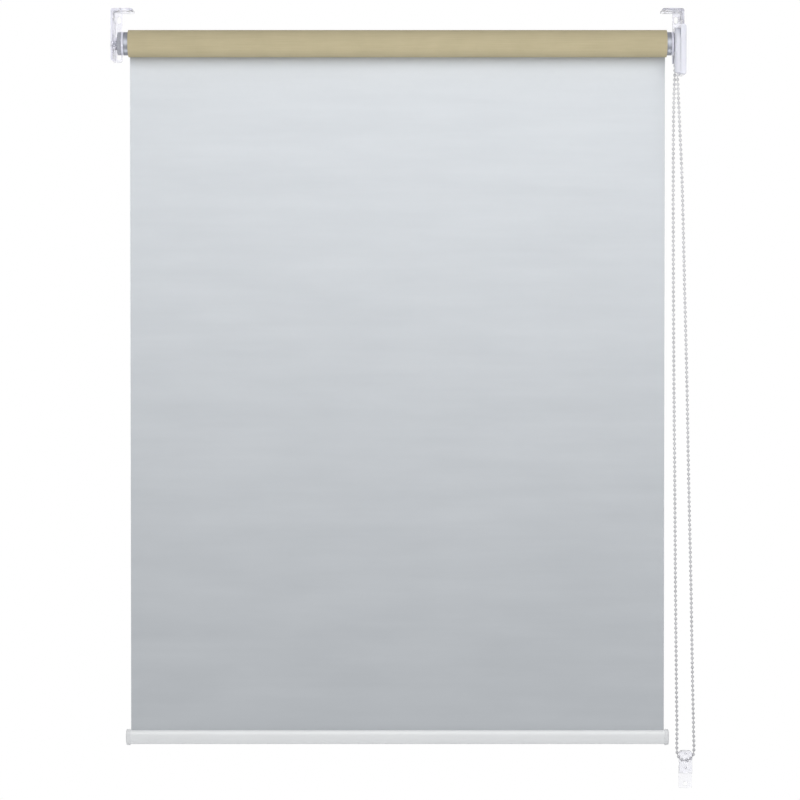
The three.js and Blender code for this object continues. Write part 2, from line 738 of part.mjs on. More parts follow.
// The fluted wheel that winds the pin out, with a hub that snaps into the plug
function adjusterWheel() {
  const outline = new THREE.Shape();
  const steps = adjusterFlutes * fluteSteps;
  for (let i = 0; i < steps; i += 1) {
    const radius = i % fluteSteps < fluteSteps / 2 ? adjusterRadius : adjusterRadius - fluteDepth;
    const angle = (i / steps) * 2 * Math.PI;
    const place = [radius * Math.cos(angle), radius * Math.sin(angle)];
    if (i === 0) outline.moveTo(...place);
    else outline.lineTo(...place);
  }
  const wheel = plateX(outline, [-adjusterOuter, -adjusterInner]);
  const hubEnd = -adjusterInner + hubLength;
  const hub = bar(-adjusterInner - overrun, hubEnd, hubRadius);
  const ridgeStart = -adjusterInner + snapRidgeDepth;
  const ridge = bar(ridgeStart, ridgeStart + snapRidgeWidth, hubRadius + snapRidge);
  const bore = bar(-adjusterOuter - overrun, hubEnd + overrun, pinRadius + pinClearance, smallSteps);
  return joinAll([wheel, hub, ridge]).subtract(bore);
}

// The pin that the left bracket carries, round outside and square in the plug
function idlePin() {
  const tip = -plateOuter + pinTipInset;
  const shoulder = tip + pinRoundLength;
  const half = pinTailWidth / 2;
  const round = turned([
    [tip, 0],
    [tip, pinRadius - pinTipChamfer],
    [tip + pinTipChamfer, pinRadius],
    [shoulder, pinRadius],
    [shoulder, 0],
  ], smallSteps);
  return round.add(block([shoulder - overrun, shoulder + pinTailLength], [-half, half], [-half, half]));
}

// An upright oval across the bottom bar, about the sheet's plane
function oval(halfThickness, halfHeight) {
  const shape = new THREE.Shape();
  shape.absellipse(0, 0, halfThickness, halfHeight, 0, 2 * Math.PI);
  return shape;
}

function bottomBar() {
  const outer = plateX(oval(barThickness / 2, barHeight / 2), [-barEnd, barEnd], ovalSteps);
  const cutX = [-barEnd - overrun, barEnd + overrun];
  const hollow = plateX(oval(barThickness / 2 - barWall, barHeight / 2 - barWall), cutX, ovalSteps);
  const half = barSlotWidth / 2;
  return outer.subtract(hollow).subtract(block(cutX, [-half, half], [stripTop, barHeight / 2 + overrun]));
}

function insertStrip() {
  const half = stripWidth / 2;
  const end = barEnd - stripShort;
  return block([-end, end], [-half, half], [stripTop - stripHeight, stripTop - fitGap]);
}

function endCap(side) {
  const start = barEnd + fitGap;
  const domed = new THREE.ExtrudeGeometry(
    oval(barThickness / 2 + capProud - capDome, barHeight / 2 + capProud - capDome),
    {
      depth: capThickness,
      bevelThickness: capDome,
      bevelSize: capDome,
      bevelSegments: bevelSteps,
      curveSegments: capSteps,
    },
  );
  const turn = side > 0 ? [axisY, axisZ, axisX] : [axisY.clone().negate(), axisZ, axisX.clone().negate()];
  domed.applyMatrix4(new THREE.Matrix4().makeBasis(...turn));
  domed.translate(side * start, 0, 0);
  const reach = barHeight;
  const inside = block(along(side, start - reach, start), [-reach, reach], [-reach, reach]);
  const half = spigotWidth / 2;
  const spigotX = along(side, start - spigotLength, start + overrun);
  return solid(domed).subtract(inside).add(block(spigotX, [-half, half], [-spigotBottom, spigotTop]));
}

function fabricPanel() {
  const bottom = -drop + stripTop + fitGap;
  return block([-fabricEdge, fabricEdge], [sheetNear, sheetFar], [bottom, -fitGap]);
}

// The stretch of chain that the housing holds: down one chute, over the wheel and down the other
function heldChainPath() {
  const spot = (y, z) => new THREE.Vector3(wheelPlane, y, z);
  const points = [spot(-pitchRadius, -nearChuteDrop)];
  for (let i = 0; i <= bendSteps; i += 1) {
    const angle = Math.PI - (i / bendSteps) * Math.PI;
    points.push(spot(pitchRadius * Math.cos(angle), pitchRadius * Math.sin(angle)));
  }
  points.push(spot(pitchRadius, -farChuteDrop));
  const path = new THREE.CurvePath();
  points.slice(1).forEach((point, i) => path.add(new THREE.LineCurve3(points[i], point)));
  return path;
}

function chainOverWheel() {
  const path = heldChainPath();
  const length = path.getLength();
  const count = Math.floor((length - beadDiameter) / beadPitch) + 1;
  const first = (length - (count - 1) * beadPitch) / 2;
  const beads = Array.from({ length: count }, (_, i) => {
    const place = path.getPointAt((first + i * beadPitch) / length);
    const bead = new THREE.SphereGeometry(beadDiameter / 2, beadSteps, beadSteps - 1);
    return solid(bead.translate(place.x, place.y, place.z));
  });
  return joinAll([heldString(), ...beads]);
}

// The string inside the held stretch
function heldString() {
  const radius = stringDiameter / 2;
  const runs = [[-pitchRadius, nearChuteDrop], [pitchRadius, farChuteDrop]].map(([y, length]) =>
    block([wheelPlane - radius, wheelPlane + radius], [y - radius, y + radius], [-length, 0]),
  );
  const hoop = ring(
    wheelPlane - radius, wheelPlane + radius,
    pitchRadius - radius, pitchRadius + radius, bendSteps * 2,
  );
  const reach = housingRadius;
  const lower = block([wheelPlane - reach, wheelPlane + reach], [-reach, reach], [-reach, 0]);
  return joinAll([hoop.subtract(lower), ...runs]);
}

// The free loop of chain as one plain cord of the beads' diameter
function beadChain() {
  const points = chainRoute.map((place) => new THREE.Vector3(...place));
  const extrudePath = new Route(points, false, "centripetal");
  const steps = (points.length - 1) * chainStepsPerPoint;
  return solid(new THREE.ExtrudeGeometry(polygon(chainSides, beadDiameter / 2), { steps, extrudePath }));
}

// The tensioner's shapes are drawn about the middle of the chain's bend
const tensionerX0 = tensionerX - tensionerWidth / 2;
const tensionerX1 = tensionerX + tensionerWidth / 2;
const grooveHalf = beadDiameter / 2 + beadGap;
const plateNear = -grooveHalf - tensionerPlate;
const bodyNear = -grooveHalf + fitGap;
const bodyFar = grooveHalf + tensionerBackWall;

function clipPins(y0, y1, radius) {
  return [upperClipPinBelow, lowerClipPinBelow].map((below) => {
    const pin = new THREE.CylinderGeometry(radius, radius, y1 - y0, smallSteps);
    return solid(pin.translate(tensionerX, (y0 + y1) / 2, -loopCentreDrop - below));
  });
}

function tensionerBack() {
  const top = -loopCentreDrop + tensionerAbove;
  const stepZ = -loopCentreDrop - tensionerPlateBottom;
  const bottom = -loopCentreDrop - tensionerBottom;
  const across = [tensionerX0, tensionerX1];
  const upper = rounded(across, [stepZ, top], [0, 0, tensionerTopCorner, tensionerTopCorner]);
  const lower = rounded(across, [bottom, stepZ + overrun], [tensionerCorner, tensionerCorner, 0, 0]);
  const bend = new THREE.Shape();
  bend.absarc(tensionerX, -loopCentreDrop, loopRadius + grooveHalf, Math.PI, 2 * Math.PI);
  bend.absarc(tensionerX, -loopCentreDrop, loopRadius - grooveHalf, 2 * Math.PI, Math.PI, true);
  const groove = plateY(bend, [bodyNear - overrun, grooveHalf], bendSteps);
  const holeX = [tensionerX - tensionerHoleWidth / 2, tensionerX + tensionerHoleWidth / 2];
  const holeMiddle = bottom + tensionerHoleInset;
  const holeZ = [holeMiddle - tensionerHoleWidth / 2, holeMiddle + tensionerHoleWidth / 2];
  const hole = plateY(
    rounded(holeX, holeZ, Array(4).fill(tensionerHoleCorner)),
    [bodyNear - overrun, bodyFar + overrun],
  );
  const body = plateY(upper, [bodyNear, bodyFar]).add(plateY(lower, [bodyFar - tensionerTab, bodyFar]));
  const pinEnd = plateNear + tensionerPlate + clipPinLength;
  const pinHoles = clipPins(bodyNear - overrun, pinEnd + fitGap, clipPinRadius + fitGap);
  return cutAll(body, [groove, hole, ...pinHoles]);
}

function tensionerFront() {
  const z = [-loopCentreDrop - tensionerPlateBottom, -loopCentreDrop + tensionerAbove];
  const outline = rounded([tensionerX0, tensionerX1], z, [0, 0, tensionerTopCorner, tensionerTopCorner]);
  const inner = plateNear + tensionerPlate;
  const pins = clipPins(inner - overrun / 2, inner + clipPinLength, clipPinRadius);
  return joinAll([plateY(outline, [plateNear, inner]), ...pins]);
}

// The whole blind
const blind = new THREE.Group();
const roller = new THREE.Group();
roller.position.z = -ceilingDrop;
blind.add(roller);
const hemBar = new THREE.Group();
hemBar.position.set(0, sheetMiddle, -drop);
roller.add(hemBar);

const springMiddle = wheelInner - springInset;

addPiece(roller, "bracket_left", clearPlastic, leftBracket());
addPiece(roller, "bracket_right", clearPlastic, rightBracket());
addPiece(roller, "carrier_inner_wall", clearPlastic, carrierInner());
addPiece(roller, "carrier_outer_shell", clearPlastic, carrierOuter());
addPiece(roller, "chain_housing", clearPlastic, clutchHousing());
addPiece(roller, "chain_housing_face", clearPlastic, clutchFace());
addPiece(roller, "chain_wheel", greyPlastic, chainWheel());
addPiece(roller, "clutch_spindle", greyPlastic, clutchSpindle());
addPiece(roller, "spindle_clip", springSteel, spindleClip());
addPiece(roller, "spindle_screw", springSteel, spindleScrew());
addPiece(roller, "drive_core", whitePlastic, driveCore());
addPiece(roller, "brake_spring_outer", springSteel, brakeSpring(springMiddle));
addPiece(roller, "brake_spring_inner", springSteel, brakeSpring(springMiddle - springSpacing));
addPiece(roller, "roller_tube", tubeSteel, rollerTube());
addPiece(roller, "fabric_roll", beigeFabric, fabricRoll());
addPiece(roller, "idle_plug", whitePlastic, idlePlug());
addPiece(roller, "adjuster_wheel", greyPlastic, adjusterWheel());
addPiece(roller, "idle_pin", springSteel, idlePin());
addPiece(roller, "fabric_panel", silverFabric, fabricPanel());
addPiece(hemBar, "bottom_bar", whiteCoated, bottomBar());
addPiece(hemBar, "insert_strip", whitePlastic, insertStrip());
addPiece(hemBar, "bar_cap_left", whitePlastic, endCap(-1));
addPiece(hemBar, "bar_cap_right", whitePlastic, endCap(1));
addPiece(roller, "chain_over_wheel", beadPlastic, chainOverWheel());
addPiece(blind, "bead_chain", beadPlastic, beadChain());
addPiece(blind, "tensioner_back", clearPlastic, tensionerBack());
addPiece(blind, "tensioner_front", clearPlastic, tensionerFront());

export default blind;
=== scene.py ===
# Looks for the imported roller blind: smooth, dressed pieces built around the CAD frame.
# Metres, +Z up, +X to the right, +Y towards the wall. The origin lies on the ceiling plane above the roller.

import math

import bmesh
import bpy
import numpy as np
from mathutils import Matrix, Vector


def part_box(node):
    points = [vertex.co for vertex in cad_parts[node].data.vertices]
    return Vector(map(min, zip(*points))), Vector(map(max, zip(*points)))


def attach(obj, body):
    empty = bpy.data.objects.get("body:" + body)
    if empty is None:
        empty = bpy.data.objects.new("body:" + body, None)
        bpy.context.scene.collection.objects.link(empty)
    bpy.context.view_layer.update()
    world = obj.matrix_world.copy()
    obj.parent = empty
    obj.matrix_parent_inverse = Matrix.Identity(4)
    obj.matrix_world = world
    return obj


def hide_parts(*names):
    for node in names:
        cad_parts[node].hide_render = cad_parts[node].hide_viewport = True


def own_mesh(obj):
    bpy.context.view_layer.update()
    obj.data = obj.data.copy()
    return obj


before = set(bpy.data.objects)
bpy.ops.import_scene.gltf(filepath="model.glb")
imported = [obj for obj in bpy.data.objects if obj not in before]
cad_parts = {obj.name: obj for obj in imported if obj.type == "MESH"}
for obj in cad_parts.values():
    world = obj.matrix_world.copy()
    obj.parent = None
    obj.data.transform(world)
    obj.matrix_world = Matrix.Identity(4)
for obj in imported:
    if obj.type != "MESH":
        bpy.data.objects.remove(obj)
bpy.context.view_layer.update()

MM = 0.001
WHOLE_TURN = 2 * math.pi

# Camera, fitted to the photograph
CAMERA_PLACE = (0.0033, -3.5, -0.44)
CAMERA_TILT = math.radians(1.067)
CAMERA_LENS = 121.4
CAMERA_SENSOR = 36

# Floor: a grey that keeps the shadow, seen nearly white below the blind and white further away
FLOOR_Z = -2.1
FLOOR_HALF = 9.0
FLOOR_COLOR = (0.86, 0.86, 0.86)
FLOOR_SHOWN_WHITE = 0.72
FLOOR_FADE_START = 1.4
FLOOR_FADE_END = 4.2

# World: its light falls off from the horizon up, and more of it comes from behind the blind
WORLD_LOW_LEVEL = 0.44
WORLD_HIGH_LEVEL = 0.17
WORLD_LOW_SLOPE = -0.1
WORLD_HIGH_SLOPE = 0.9
WORLD_BACK_GAIN = 3.2
WORLD_TINT = (0.97, 0.985, 1.0)
WHITE = (1.0, 1.0, 1.0)

# Lamps: a large one in front, a card below it, and a narrow one that lights the underside of the roll
LAMP_PLACE = (0.1, -1.4, 0.28)
LAMP_TARGET = (0.0, 0.0, 0.15)
LAMP_SIZE = (2.6, 1.3)
LAMP_POWER = 23.2
LAMP_COLOR = (1.0, 0.995, 0.985)
CARD_PLACE = (0.0, -0.35, -2.0)
CARD_TARGET = (0.0, -0.05, 0.0)
CARD_SIZE = (2.4, 0.5)
CARD_POWER = 3.0
LOW_LAMP_PLACE = (0.0, -0.35, -1.9)
LOW_LAMP_TARGET = (0.0, 0.0, -0.06)
LOW_LAMP_SIZE = (2.4, 0.1)
LOW_LAMP_POWER = 0.3
LOW_LAMP_BEAM = math.radians(14)

# Places read off the frame, with the roller axis to the micrometre
TUBE_LOW, TUBE_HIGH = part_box("roller_tube")
TUBE_END = TUBE_HIGH.x
TUBE_RADIUS = TUBE_HIGH.y
AXIS_Z = round((TUBE_LOW.z + TUBE_HIGH.z) / 2, 6)
FABRIC_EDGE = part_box("fabric_roll")[1].x
SHEET_LOW, SHEET_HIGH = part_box("fabric_panel")
SHEET_MIDDLE = (SHEET_LOW.y + SHEET_HIGH.y) / 2
CLOTH_HALF = (SHEET_HIGH.y - SHEET_LOW.y) / 2
BAR_LOW, BAR_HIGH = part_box("bottom_bar")
BAR_Z = (BAR_LOW.z + BAR_HIGH.z) / 2
BAR_HALF_Y = (BAR_HIGH.y - BAR_LOW.y) / 2
BAR_HALF_Z = (BAR_HIGH.z - BAR_LOW.z) / 2

# Chain
BEAD_RADIUS = 2.1 * MM
STRING_RADIUS = 0.6 * MM
BEAD_PITCH = 6 * MM
CHAIN_SIDES = 14
FIRST_BEAD = 2.7 * MM
LAST_BEAD = 2.5 * MM
WHEEL_POCKETS = 17
PITCH_RADIUS = WHEEL_POCKETS * BEAD_PITCH / WHOLE_TURN
NEAR_CHUTE_DROP = 0.039
FAR_CHUTE_DROP = 0.0242
HELD_STEPS = 60
# Half a bead from its waist to the string: share of its radius along the chain, share of it across
BEAD_PROFILE_SHARES = [
    (0.0, 1.0), (0.2, 0.98), (0.42, 0.907), (0.62, 0.785), (0.78, 0.626), (0.86, 0.51),
    (0.93, 0.44), (1.03, 0.4), (1.07, 0.27),
]
# Order of a chain's materials
BEAD_SKIN = 0
STRING_SKIN = 1

# The free chain's points, from the near chute round the tensioner to the far chute
CHAIN_ROUTE = [
    (0.3609, -0.0162, -0.0833), (0.3612, -0.0162, -0.094), (0.3634, -0.0157, -0.140),
    (0.3672, -0.0145, -0.221), (0.3708, -0.0123, -0.351), (0.3744, -0.010, -0.481),
    (0.3773, -0.0075, -0.611), (0.3807, -0.0048, -0.741), (0.3834, -0.002, -0.870),
    (0.385, -0.0004, -0.934), (0.38535, 0.0, -0.963), (0.3839, 0.0, -0.96842),
    (0.37992, 0.0, -0.9724), (0.3745, 0.0, -0.97385), (0.36908, 0.0, -0.9724),
    (0.3651, 0.0, -0.96842), (0.36365, 0.0, -0.963), (0.3635, 0.0004, -0.934),
    (0.3628, 0.002, -0.870), (0.3616, 0.0048, -0.741), (0.3608, 0.0075, -0.611),
    (0.3597, 0.010, -0.481), (0.359, 0.0123, -0.351), (0.3588, 0.0145, -0.221),
    (0.3593, 0.0157, -0.130), (0.3607, 0.0162, -0.080), (0.3609, 0.0162, -0.0685),
]
ROUTE_STEPS = 24
WHEEL_PLANE = CHAIN_ROUTE[0][0]

# Cloth
ROLL_PINCH = 0.5 * MM
ROLL_STEPS = 120
INNER_TURNS = 4
INNER_CLOTH_HALF = 0.19 * MM
INNER_ROLL_OUTER = 16.56 * MM
INNER_ROLL_INNER = 15.2 * MM
SHEET_COLUMNS = 72
SHEET_ROWS = 110
SHEET_WAVE = 0.17 * MM
# Broad swells: share of the wave, radians per metre across and their start, the same down
CLOTH_SWELLS = [(1.0, 4.1, 1.3, 11.0, 0.4), (0.6, 9.0, 2.0, 23.0, 0.0)]
# Level creases: share of the wave, radians per metre down, sway, radians per metre across and their start
CLOTH_CREASES = [(0.5, 46.0, 2.4, 5.0, 0.0), (0.35, 83.0, 3.0, 3.0, 1.0)]
# Order of a cloth's materials
NEAR_SKIN = 0
FAR_SKIN = 1
CUT_SKIN = 2

# Moulded edges
FINE_EDGE = 0.12 * MM
SOFT_EDGE = 0.22 * MM
CLEAR_EDGE = 0.32 * MM
TENSIONER_EDGE = 0.45 * MM
WELD = 0.002 * MM
FLAT_ANGLE = math.radians(0.6)
EDGE_ANGLE = math.radians(28)
SMOOTH_ANGLE = math.radians(40)
BEVEL_SEGMENTS = 2

# A direction that no swept line starts along
SIDE_HINT = (0.3, 1.0, 0.2)

# Bottom bar and its caps
BAR_WALL = 1.2 * MM
BAR_SLOT_HALF = 0.8 * MM
BAR_STEPS = 96
CAP_STEPS = 72
CAP_SEAT = 0.03 * MM
CAP_PROUD = 1.3 * MM
CAP_CORNER = 1.8 * MM
CAP_CORNER_STEPS = 8
CAP_CROWN = 0.9 * MM
CAP_CROWN_SHARES = [0.9, 0.8, 0.68, 0.54, 0.38, 0.2, 0.05]

# Tube
TUBE_WALL = 1.0 * MM
TUBE_STEPS = 144
TUBE_EDGE = 0.12 * MM
SEAM_HEIGHT = 1.5 * MM
SEAM_MIDDLE = 0.75 * WHOLE_TURN
SEAM_ANGLE = math.radians(4.4)
SEAM_SQUARENESS = 6
SEAM_GROOVE = 0.25 * MM

# Adjuster wheel, its hub and the snap ridge on the hub
FLUTES = 24
FLUTE_DEPTH = 0.6 * MM
FLUTE_POINTS = 10
FLUTE_SHARPNESS = 2.5
ADJUSTER_LOW, ADJUSTER_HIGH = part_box("adjuster_wheel")
ADJUSTER_THICKNESS = 4.7 * MM
ADJUSTER_OUTER = -ADJUSTER_LOW.x
ADJUSTER_INNER = ADJUSTER_OUTER - ADJUSTER_THICKNESS
ADJUSTER_RADIUS = ADJUSTER_HIGH.y
ADJUSTER_EDGE = 0.35 * MM
ADJUSTER_DISH = 0.5 * MM
DISH_RIM = 2.4 * MM
FACE_RIM = 1.8 * MM
HUB_RADIUS = 6.4 * MM
HUB_END = -ADJUSTER_HIGH.x
RIDGE_INSET = 4 * MM
RIDGE_START = ADJUSTER_INNER - RIDGE_INSET
RIDGE_WIDTH = 1.0 * MM
RIDGE_HEIGHT = 0.55 * MM
ADJUSTER_BORE = 3.25 * MM

# Brake springs
SPRING_MEAN = 7.4075 * MM
SPRING_WIRE = 0.5 * MM
SPRING_LENGTH = 14 * MM
SPRING_TURNS = 8
SPRING_START = math.radians(50)
SPRING_OVERLAP = math.radians(80)
SPRING_SWEEP = SPRING_TURNS * WHOLE_TURN + SPRING_OVERLAP
SPRING_TANG = 2.4 * MM
SPRING_TANG_BEND_SHARE = 0.3
SPRING_LEAN = math.radians(9)
SPRING_STEPS = 300
SPRING_CURVE_STEPS = 2
SPRING_SIDES = 12

# Tones: each material is mottled between two colours
SILVER_TONES = ((0.51, 0.536, 0.566), (0.567, 0.593, 0.623))
BEIGE_TONES = ((0.462, 0.404, 0.257), (0.532, 0.465, 0.303))
CUT_EDGE_TONES = ((0.5, 0.46, 0.35), (0.72, 0.69, 0.6))
TUBE_TONES = ((0.2, 0.21, 0.24), (0.3, 0.31, 0.345))
SPRING_TONES = ((0.3, 0.31, 0.335), (0.47, 0.48, 0.5))
WHITE_ACETAL_TONES = ((0.89, 0.9, 0.915), (0.925, 0.935, 0.95))
GREY_ACETAL_TONES = ((0.3, 0.31, 0.35), (0.35, 0.36, 0.4))
PALE_ACETAL_TONES = ((0.7, 0.7, 0.8), (0.76, 0.76, 0.86))
# Painted light: the wheel and spindle take a lighter acetal than the drive core and plug, standing in for
# lamp light that the clear housing keeps from them
WHEEL_ACETAL_PAINTED_LIGHT_TONES = ((0.84, 0.84, 0.89), (0.88, 0.88, 0.93))
POWDER_TONES = ((0.925, 0.94, 0.955), (0.945, 0.96, 0.975))
BRACKET_TONES = ((0.93, 0.93, 0.99), (0.96, 0.96, 1.0))
HOUSING_TONES = ((0.905, 0.915, 1.0), (0.925, 0.935, 1.0))
TENSIONER_TONES = ((0.96, 0.96, 0.99), (0.98, 0.98, 0.995))
# Painted shade: grey for the rounded edges of clear mouldings, standing in for the dark lines that bent
# light makes there
PAINTED_EDGE_SHADE_TONES = ((0.42, 0.42, 0.47), (0.52, 0.52, 0.57))
BEAD_TONES = ((0.64, 0.64, 0.665), (0.73, 0.73, 0.755))
BRAID_TONES = ((0.55, 0.55, 0.54), (0.72, 0.72, 0.71))
CLEAR_DEPTH_COLOR = (0.5, 0.5, 0.85)

# Threads of the cloth, and how deep each surface's relief is
WEAVE_PITCH = 0.45 * MM
SILVER_RELIEF = 0.02 * MM
BEIGE_RELIEF = 0.05 * MM
CUT_EDGE_RELIEF = 0.06 * MM
TUBE_RELIEF = 0.01 * MM
SPRING_RELIEF = 0.012 * MM
MOULD_RELIEF = 0.008 * MM
POWDER_RELIEF = 0.03 * MM
CLEAR_RELIEF = 0.004 * MM
CLEAR_EDGE_RELIEF = 0.006 * MM
BRAID_RELIEF = 0.08 * MM
# Most of a noise texture's values lie between these two
NOISE_LOW = 0.3
NOISE_HIGH = 0.7
# The mix node's sockets for colours
MIX_FIRST_COLOR = 6
MIX_SECOND_COLOR = 7
MIX_COLOR_RESULT = 2


# Camera
def make_camera():
    data = bpy.data.cameras.new("camera")
    data.lens = CAMERA_LENS
    data.sensor_width = CAMERA_SENSOR
    camera = bpy.data.objects.new("camera", data)
    camera.location = CAMERA_PLACE
    camera.rotation_euler = (math.pi / 2 - CAMERA_TILT, 0, 0)
    bpy.context.scene.collection.objects.link(camera)
    bpy.context.scene.camera = camera


# Nodes of a material
def new_tree(name):
    material = bpy.data.materials.new(name)
    material.use_nodes = True
    material.node_tree.nodes.clear()
    return material, material.node_tree


def add(tree, kind, inputs=None, **settings):
    node = tree.nodes.new(kind)
    for key, value in settings.items():
        setattr(node, key, value)
    for key, value in (inputs or {}).items():
        if isinstance(value, bpy.types.NodeSocket):
            tree.links.new(value, node.inputs[key])
        else:
            node.inputs[key].default_value = value
    return node


def rgba(color):
    return (*color, 1.0)


def scaled(tree, vector, stretch):
    return add(tree, "ShaderNodeMapping", {"Vector": vector, "Scale": stretch}).outputs["Vector"]


def object_place(tree, stretch=(1, 1, 1)):
    return scaled(tree, add(tree, "ShaderNodeTexCoord").outputs["Object"], stretch)


# Cloth coordinates in metres: across the sheet and along it, also where it is wound up
def cloth_place(tree, stretch=(1, 1, 1)):
    return scaled(tree, add(tree, "ShaderNodeUVMap", uv_map="cloth").outputs["UV"], stretch)


def noise(tree, vector, scale, detail=3.0, roughness=0.5):
    settings = {"Vector": vector, "Scale": scale, "Detail": detail, "Roughness": roughness}
    return add(tree, "ShaderNodeTexNoise", settings).outputs["Fac"]


def spread(tree, value, low, high):
    settings = {"Value": value, "From Min": NOISE_LOW, "From Max": NOISE_HIGH, "To Min": low, "To Max": high}
    return add(tree, "ShaderNodeMapRange", settings).outputs["Result"]


def mottled(tree, value, tones):
    mix = add(tree, "ShaderNodeMix", {"Factor": spread(tree, value, low=0.0, high=1.0)}, data_type="RGBA")
    mix.inputs[MIX_FIRST_COLOR].default_value = rgba(tones[0])
    mix.inputs[MIX_SECOND_COLOR].default_value = rgba(tones[1])
    return mix.outputs[MIX_COLOR_RESULT]


def bump(tree, height, distance, strength):
    settings = {"Height": height, "Distance": distance, "Strength": strength}
    return add(tree, "ShaderNodeBump", settings).outputs["Normal"]


def math_node(tree, operation, *values):
    return add(tree, "ShaderNodeMath", dict(enumerate(values)), operation=operation).outputs["Value"]


# The sum of two values, each given with its weight
def weighted(tree, *pairs):
    first, second = [math_node(tree, "MULTIPLY", value, weight) for value, weight in pairs]
    return math_node(tree, "ADD", first, second)


def finish_material(material, tree, inputs):
    shader = add(tree, "ShaderNodeBsdfPrincipled", inputs)
    add(tree, "ShaderNodeOutputMaterial", {"Surface": shader.outputs["BSDF"]})
    return material


# A plain weave: one thread over, one under
def weave(tree):
    place = add(tree, "ShaderNodeUVMap", uv_map="cloth")
    parts = add(tree, "ShaderNodeSeparateXYZ", {"Vector": place.outputs["UV"]})
    per_metre = math.pi / WEAVE_PITCH
    across = math_node(tree, "SINE", math_node(tree, "MULTIPLY", parts.outputs["X"], per_metre))
    along = math_node(tree, "SINE", math_node(tree, "MULTIPLY", parts.outputs["Y"], per_metre))
    return math_node(tree, "MULTIPLY", across, along)


# The silver coating: a soft metallic film over the weave, with faint level streaks
def silver_coating():
    material, tree = new_tree("silver_coating")
    streaks = noise(tree, cloth_place(tree, (1.1, 17.0, 1.0)), scale=2.2, detail=5.0, roughness=0.62)
    clouds = noise(tree, cloth_place(tree, (1.0, 3.2, 1.0)), scale=6.5, roughness=0.55)
    mottling = weighted(tree, (streaks, 0.5), (clouds, 0.5))
    grain = noise(tree, cloth_place(tree), scale=1400.0, detail=2.0)
    height = math_node(tree, "ADD", math_node(tree, "MULTIPLY", weave(tree), 0.5), grain)
    return finish_material(material, tree, {
        "Base Color": mottled(tree, mottling, SILVER_TONES),
        "Metallic": 0.2,
        "Roughness": spread(tree, mottling, low=0.47, high=0.53),
        "Specular IOR Level": 0.4,
        "Normal": bump(tree, height, SILVER_RELIEF, strength=0.5),
    })


# The beige side: dull thread with slubs along the width
def beige_weave():
    material, tree = new_tree("beige_weave")
    slubs = noise(tree, cloth_place(tree, (9.0, 420.0, 1.0)), scale=2.0)
    clouds = noise(tree, cloth_place(tree), scale=30.0)
    height = math_node(tree, "ADD", weave(tree), slubs)
    return finish_material(material, tree, {
        "Base Color": mottled(tree, weighted(tree, (slubs, 0.6), (clouds, 0.4)), BEIGE_TONES),
        "Roughness": spread(tree, slubs, low=0.78, high=0.9),
        "Sheen Weight": 0.05,
        "Sheen Roughness": 0.5,
        "Specular IOR Level": 0.15,
        "Normal": bump(tree, height, BEIGE_RELIEF, strength=0.6),
    })


def cut_edge():
    material, tree = new_tree("cut_edge")
    fuzz = noise(tree, object_place(tree), scale=2600.0, detail=2.0)
    return finish_material(material, tree, {
        "Base Color": mottled(tree, fuzz, CUT_EDGE_TONES),
        "Roughness": 0.9,
        "Normal": bump(tree, fuzz, CUT_EDGE_RELIEF, strength=0.6),
    })


# Rolled and galvanised strip: fine drawing lines along the tube and a faint spangle
def tube_steel():
    material, tree = new_tree("tube_steel")
    lines = noise(tree, object_place(tree, (1.0, 60.0, 60.0)), scale=30.0, detail=4.0, roughness=0.6)
    spangle = add(tree, "ShaderNodeTexVoronoi", {"Vector": object_place(tree), "Scale": 260.0})
    tone = weighted(tree, (lines, 0.75), (spangle.outputs["Distance"], 0.35))
    return finish_material(material, tree, {
        "Base Color": mottled(tree, tone, TUBE_TONES),
        "Metallic": 1.0,
        "Roughness": spread(tree, tone, low=0.36, high=0.5),
        "Normal": bump(tree, lines, TUBE_RELIEF, strength=0.4),
    })


def spring_steel():
    material, tree = new_tree("spring_steel")
    marks = noise(tree, object_place(tree), scale=700.0, detail=4.0)
    return finish_material(material, tree, {
        "Base Color": mottled(tree, marks, SPRING_TONES),
        "Metallic": 1.0,
        "Roughness": spread(tree, marks, low=0.22, high=0.4),
        "Normal": bump(tree, marks, SPRING_RELIEF, strength=0.4),
    })


# Moulded opaque plastic: an even tone with faint flow clouds and a fine spark texture
def moulded_plastic(name, tones, smoothest, roughest):
    material, tree = new_tree(name)
    clouds = noise(tree, object_place(tree), scale=90.0, detail=2.0)
    sparks = noise(tree, object_place(tree), scale=3200.0, detail=2.0)
    return finish_material(material, tree, {
        "Base Color": mottled(tree, clouds, tones),
        "Roughness": spread(tree, clouds, low=smoothest, high=roughest),
        "Normal": bump(tree, sparks, MOULD_RELIEF, strength=0.5),
    })


# Powder coat on the bar, with its orange peel
def white_powder():
    material, tree = new_tree("white_powder")
    peel = noise(tree, object_place(tree, (0.8, 1.0, 1.0)), scale=620.0, detail=2.0, roughness=0.4)
    clouds = noise(tree, object_place(tree), scale=20.0, detail=2.0)
    return finish_material(material, tree, {
        "Base Color": mottled(tree, clouds, POWDER_TONES),
        "Roughness": spread(tree, peel, low=0.3, high=0.4),
        "Coat Weight": 0.7,
        "Coat Roughness": 0.25,
        "Normal": bump(tree, peel, POWDER_RELIEF, strength=0.35),
    })


# Clear polycarbonate: its lilac cast shows where the light passes along a plate, not across it
def clear_plastic(name, tones, clearness, bending, density):
    material, tree = new_tree(name)
    flow = noise(tree, object_place(tree), scale=160.0, detail=2.0)
    shader = add(tree, "ShaderNodeBsdfPrincipled", {
        "Base Color": mottled(tree, flow, tones),
        "Roughness": spread(tree, flow, low=0.04, high=0.09),
        "IOR": bending,
        "Transmission Weight": clearness,
        "Normal": bump(tree, flow, CLEAR_RELIEF, strength=0.1),
    })
    depth = add(tree, "ShaderNodeVolumeAbsorption", {"Color": rgba(CLEAR_DEPTH_COLOR), "Density": density})
    outputs = {"Surface": shader.outputs["BSDF"], "Volume": depth.outputs["Volume"]}
    add(tree, "ShaderNodeOutputMaterial", outputs)
    return material
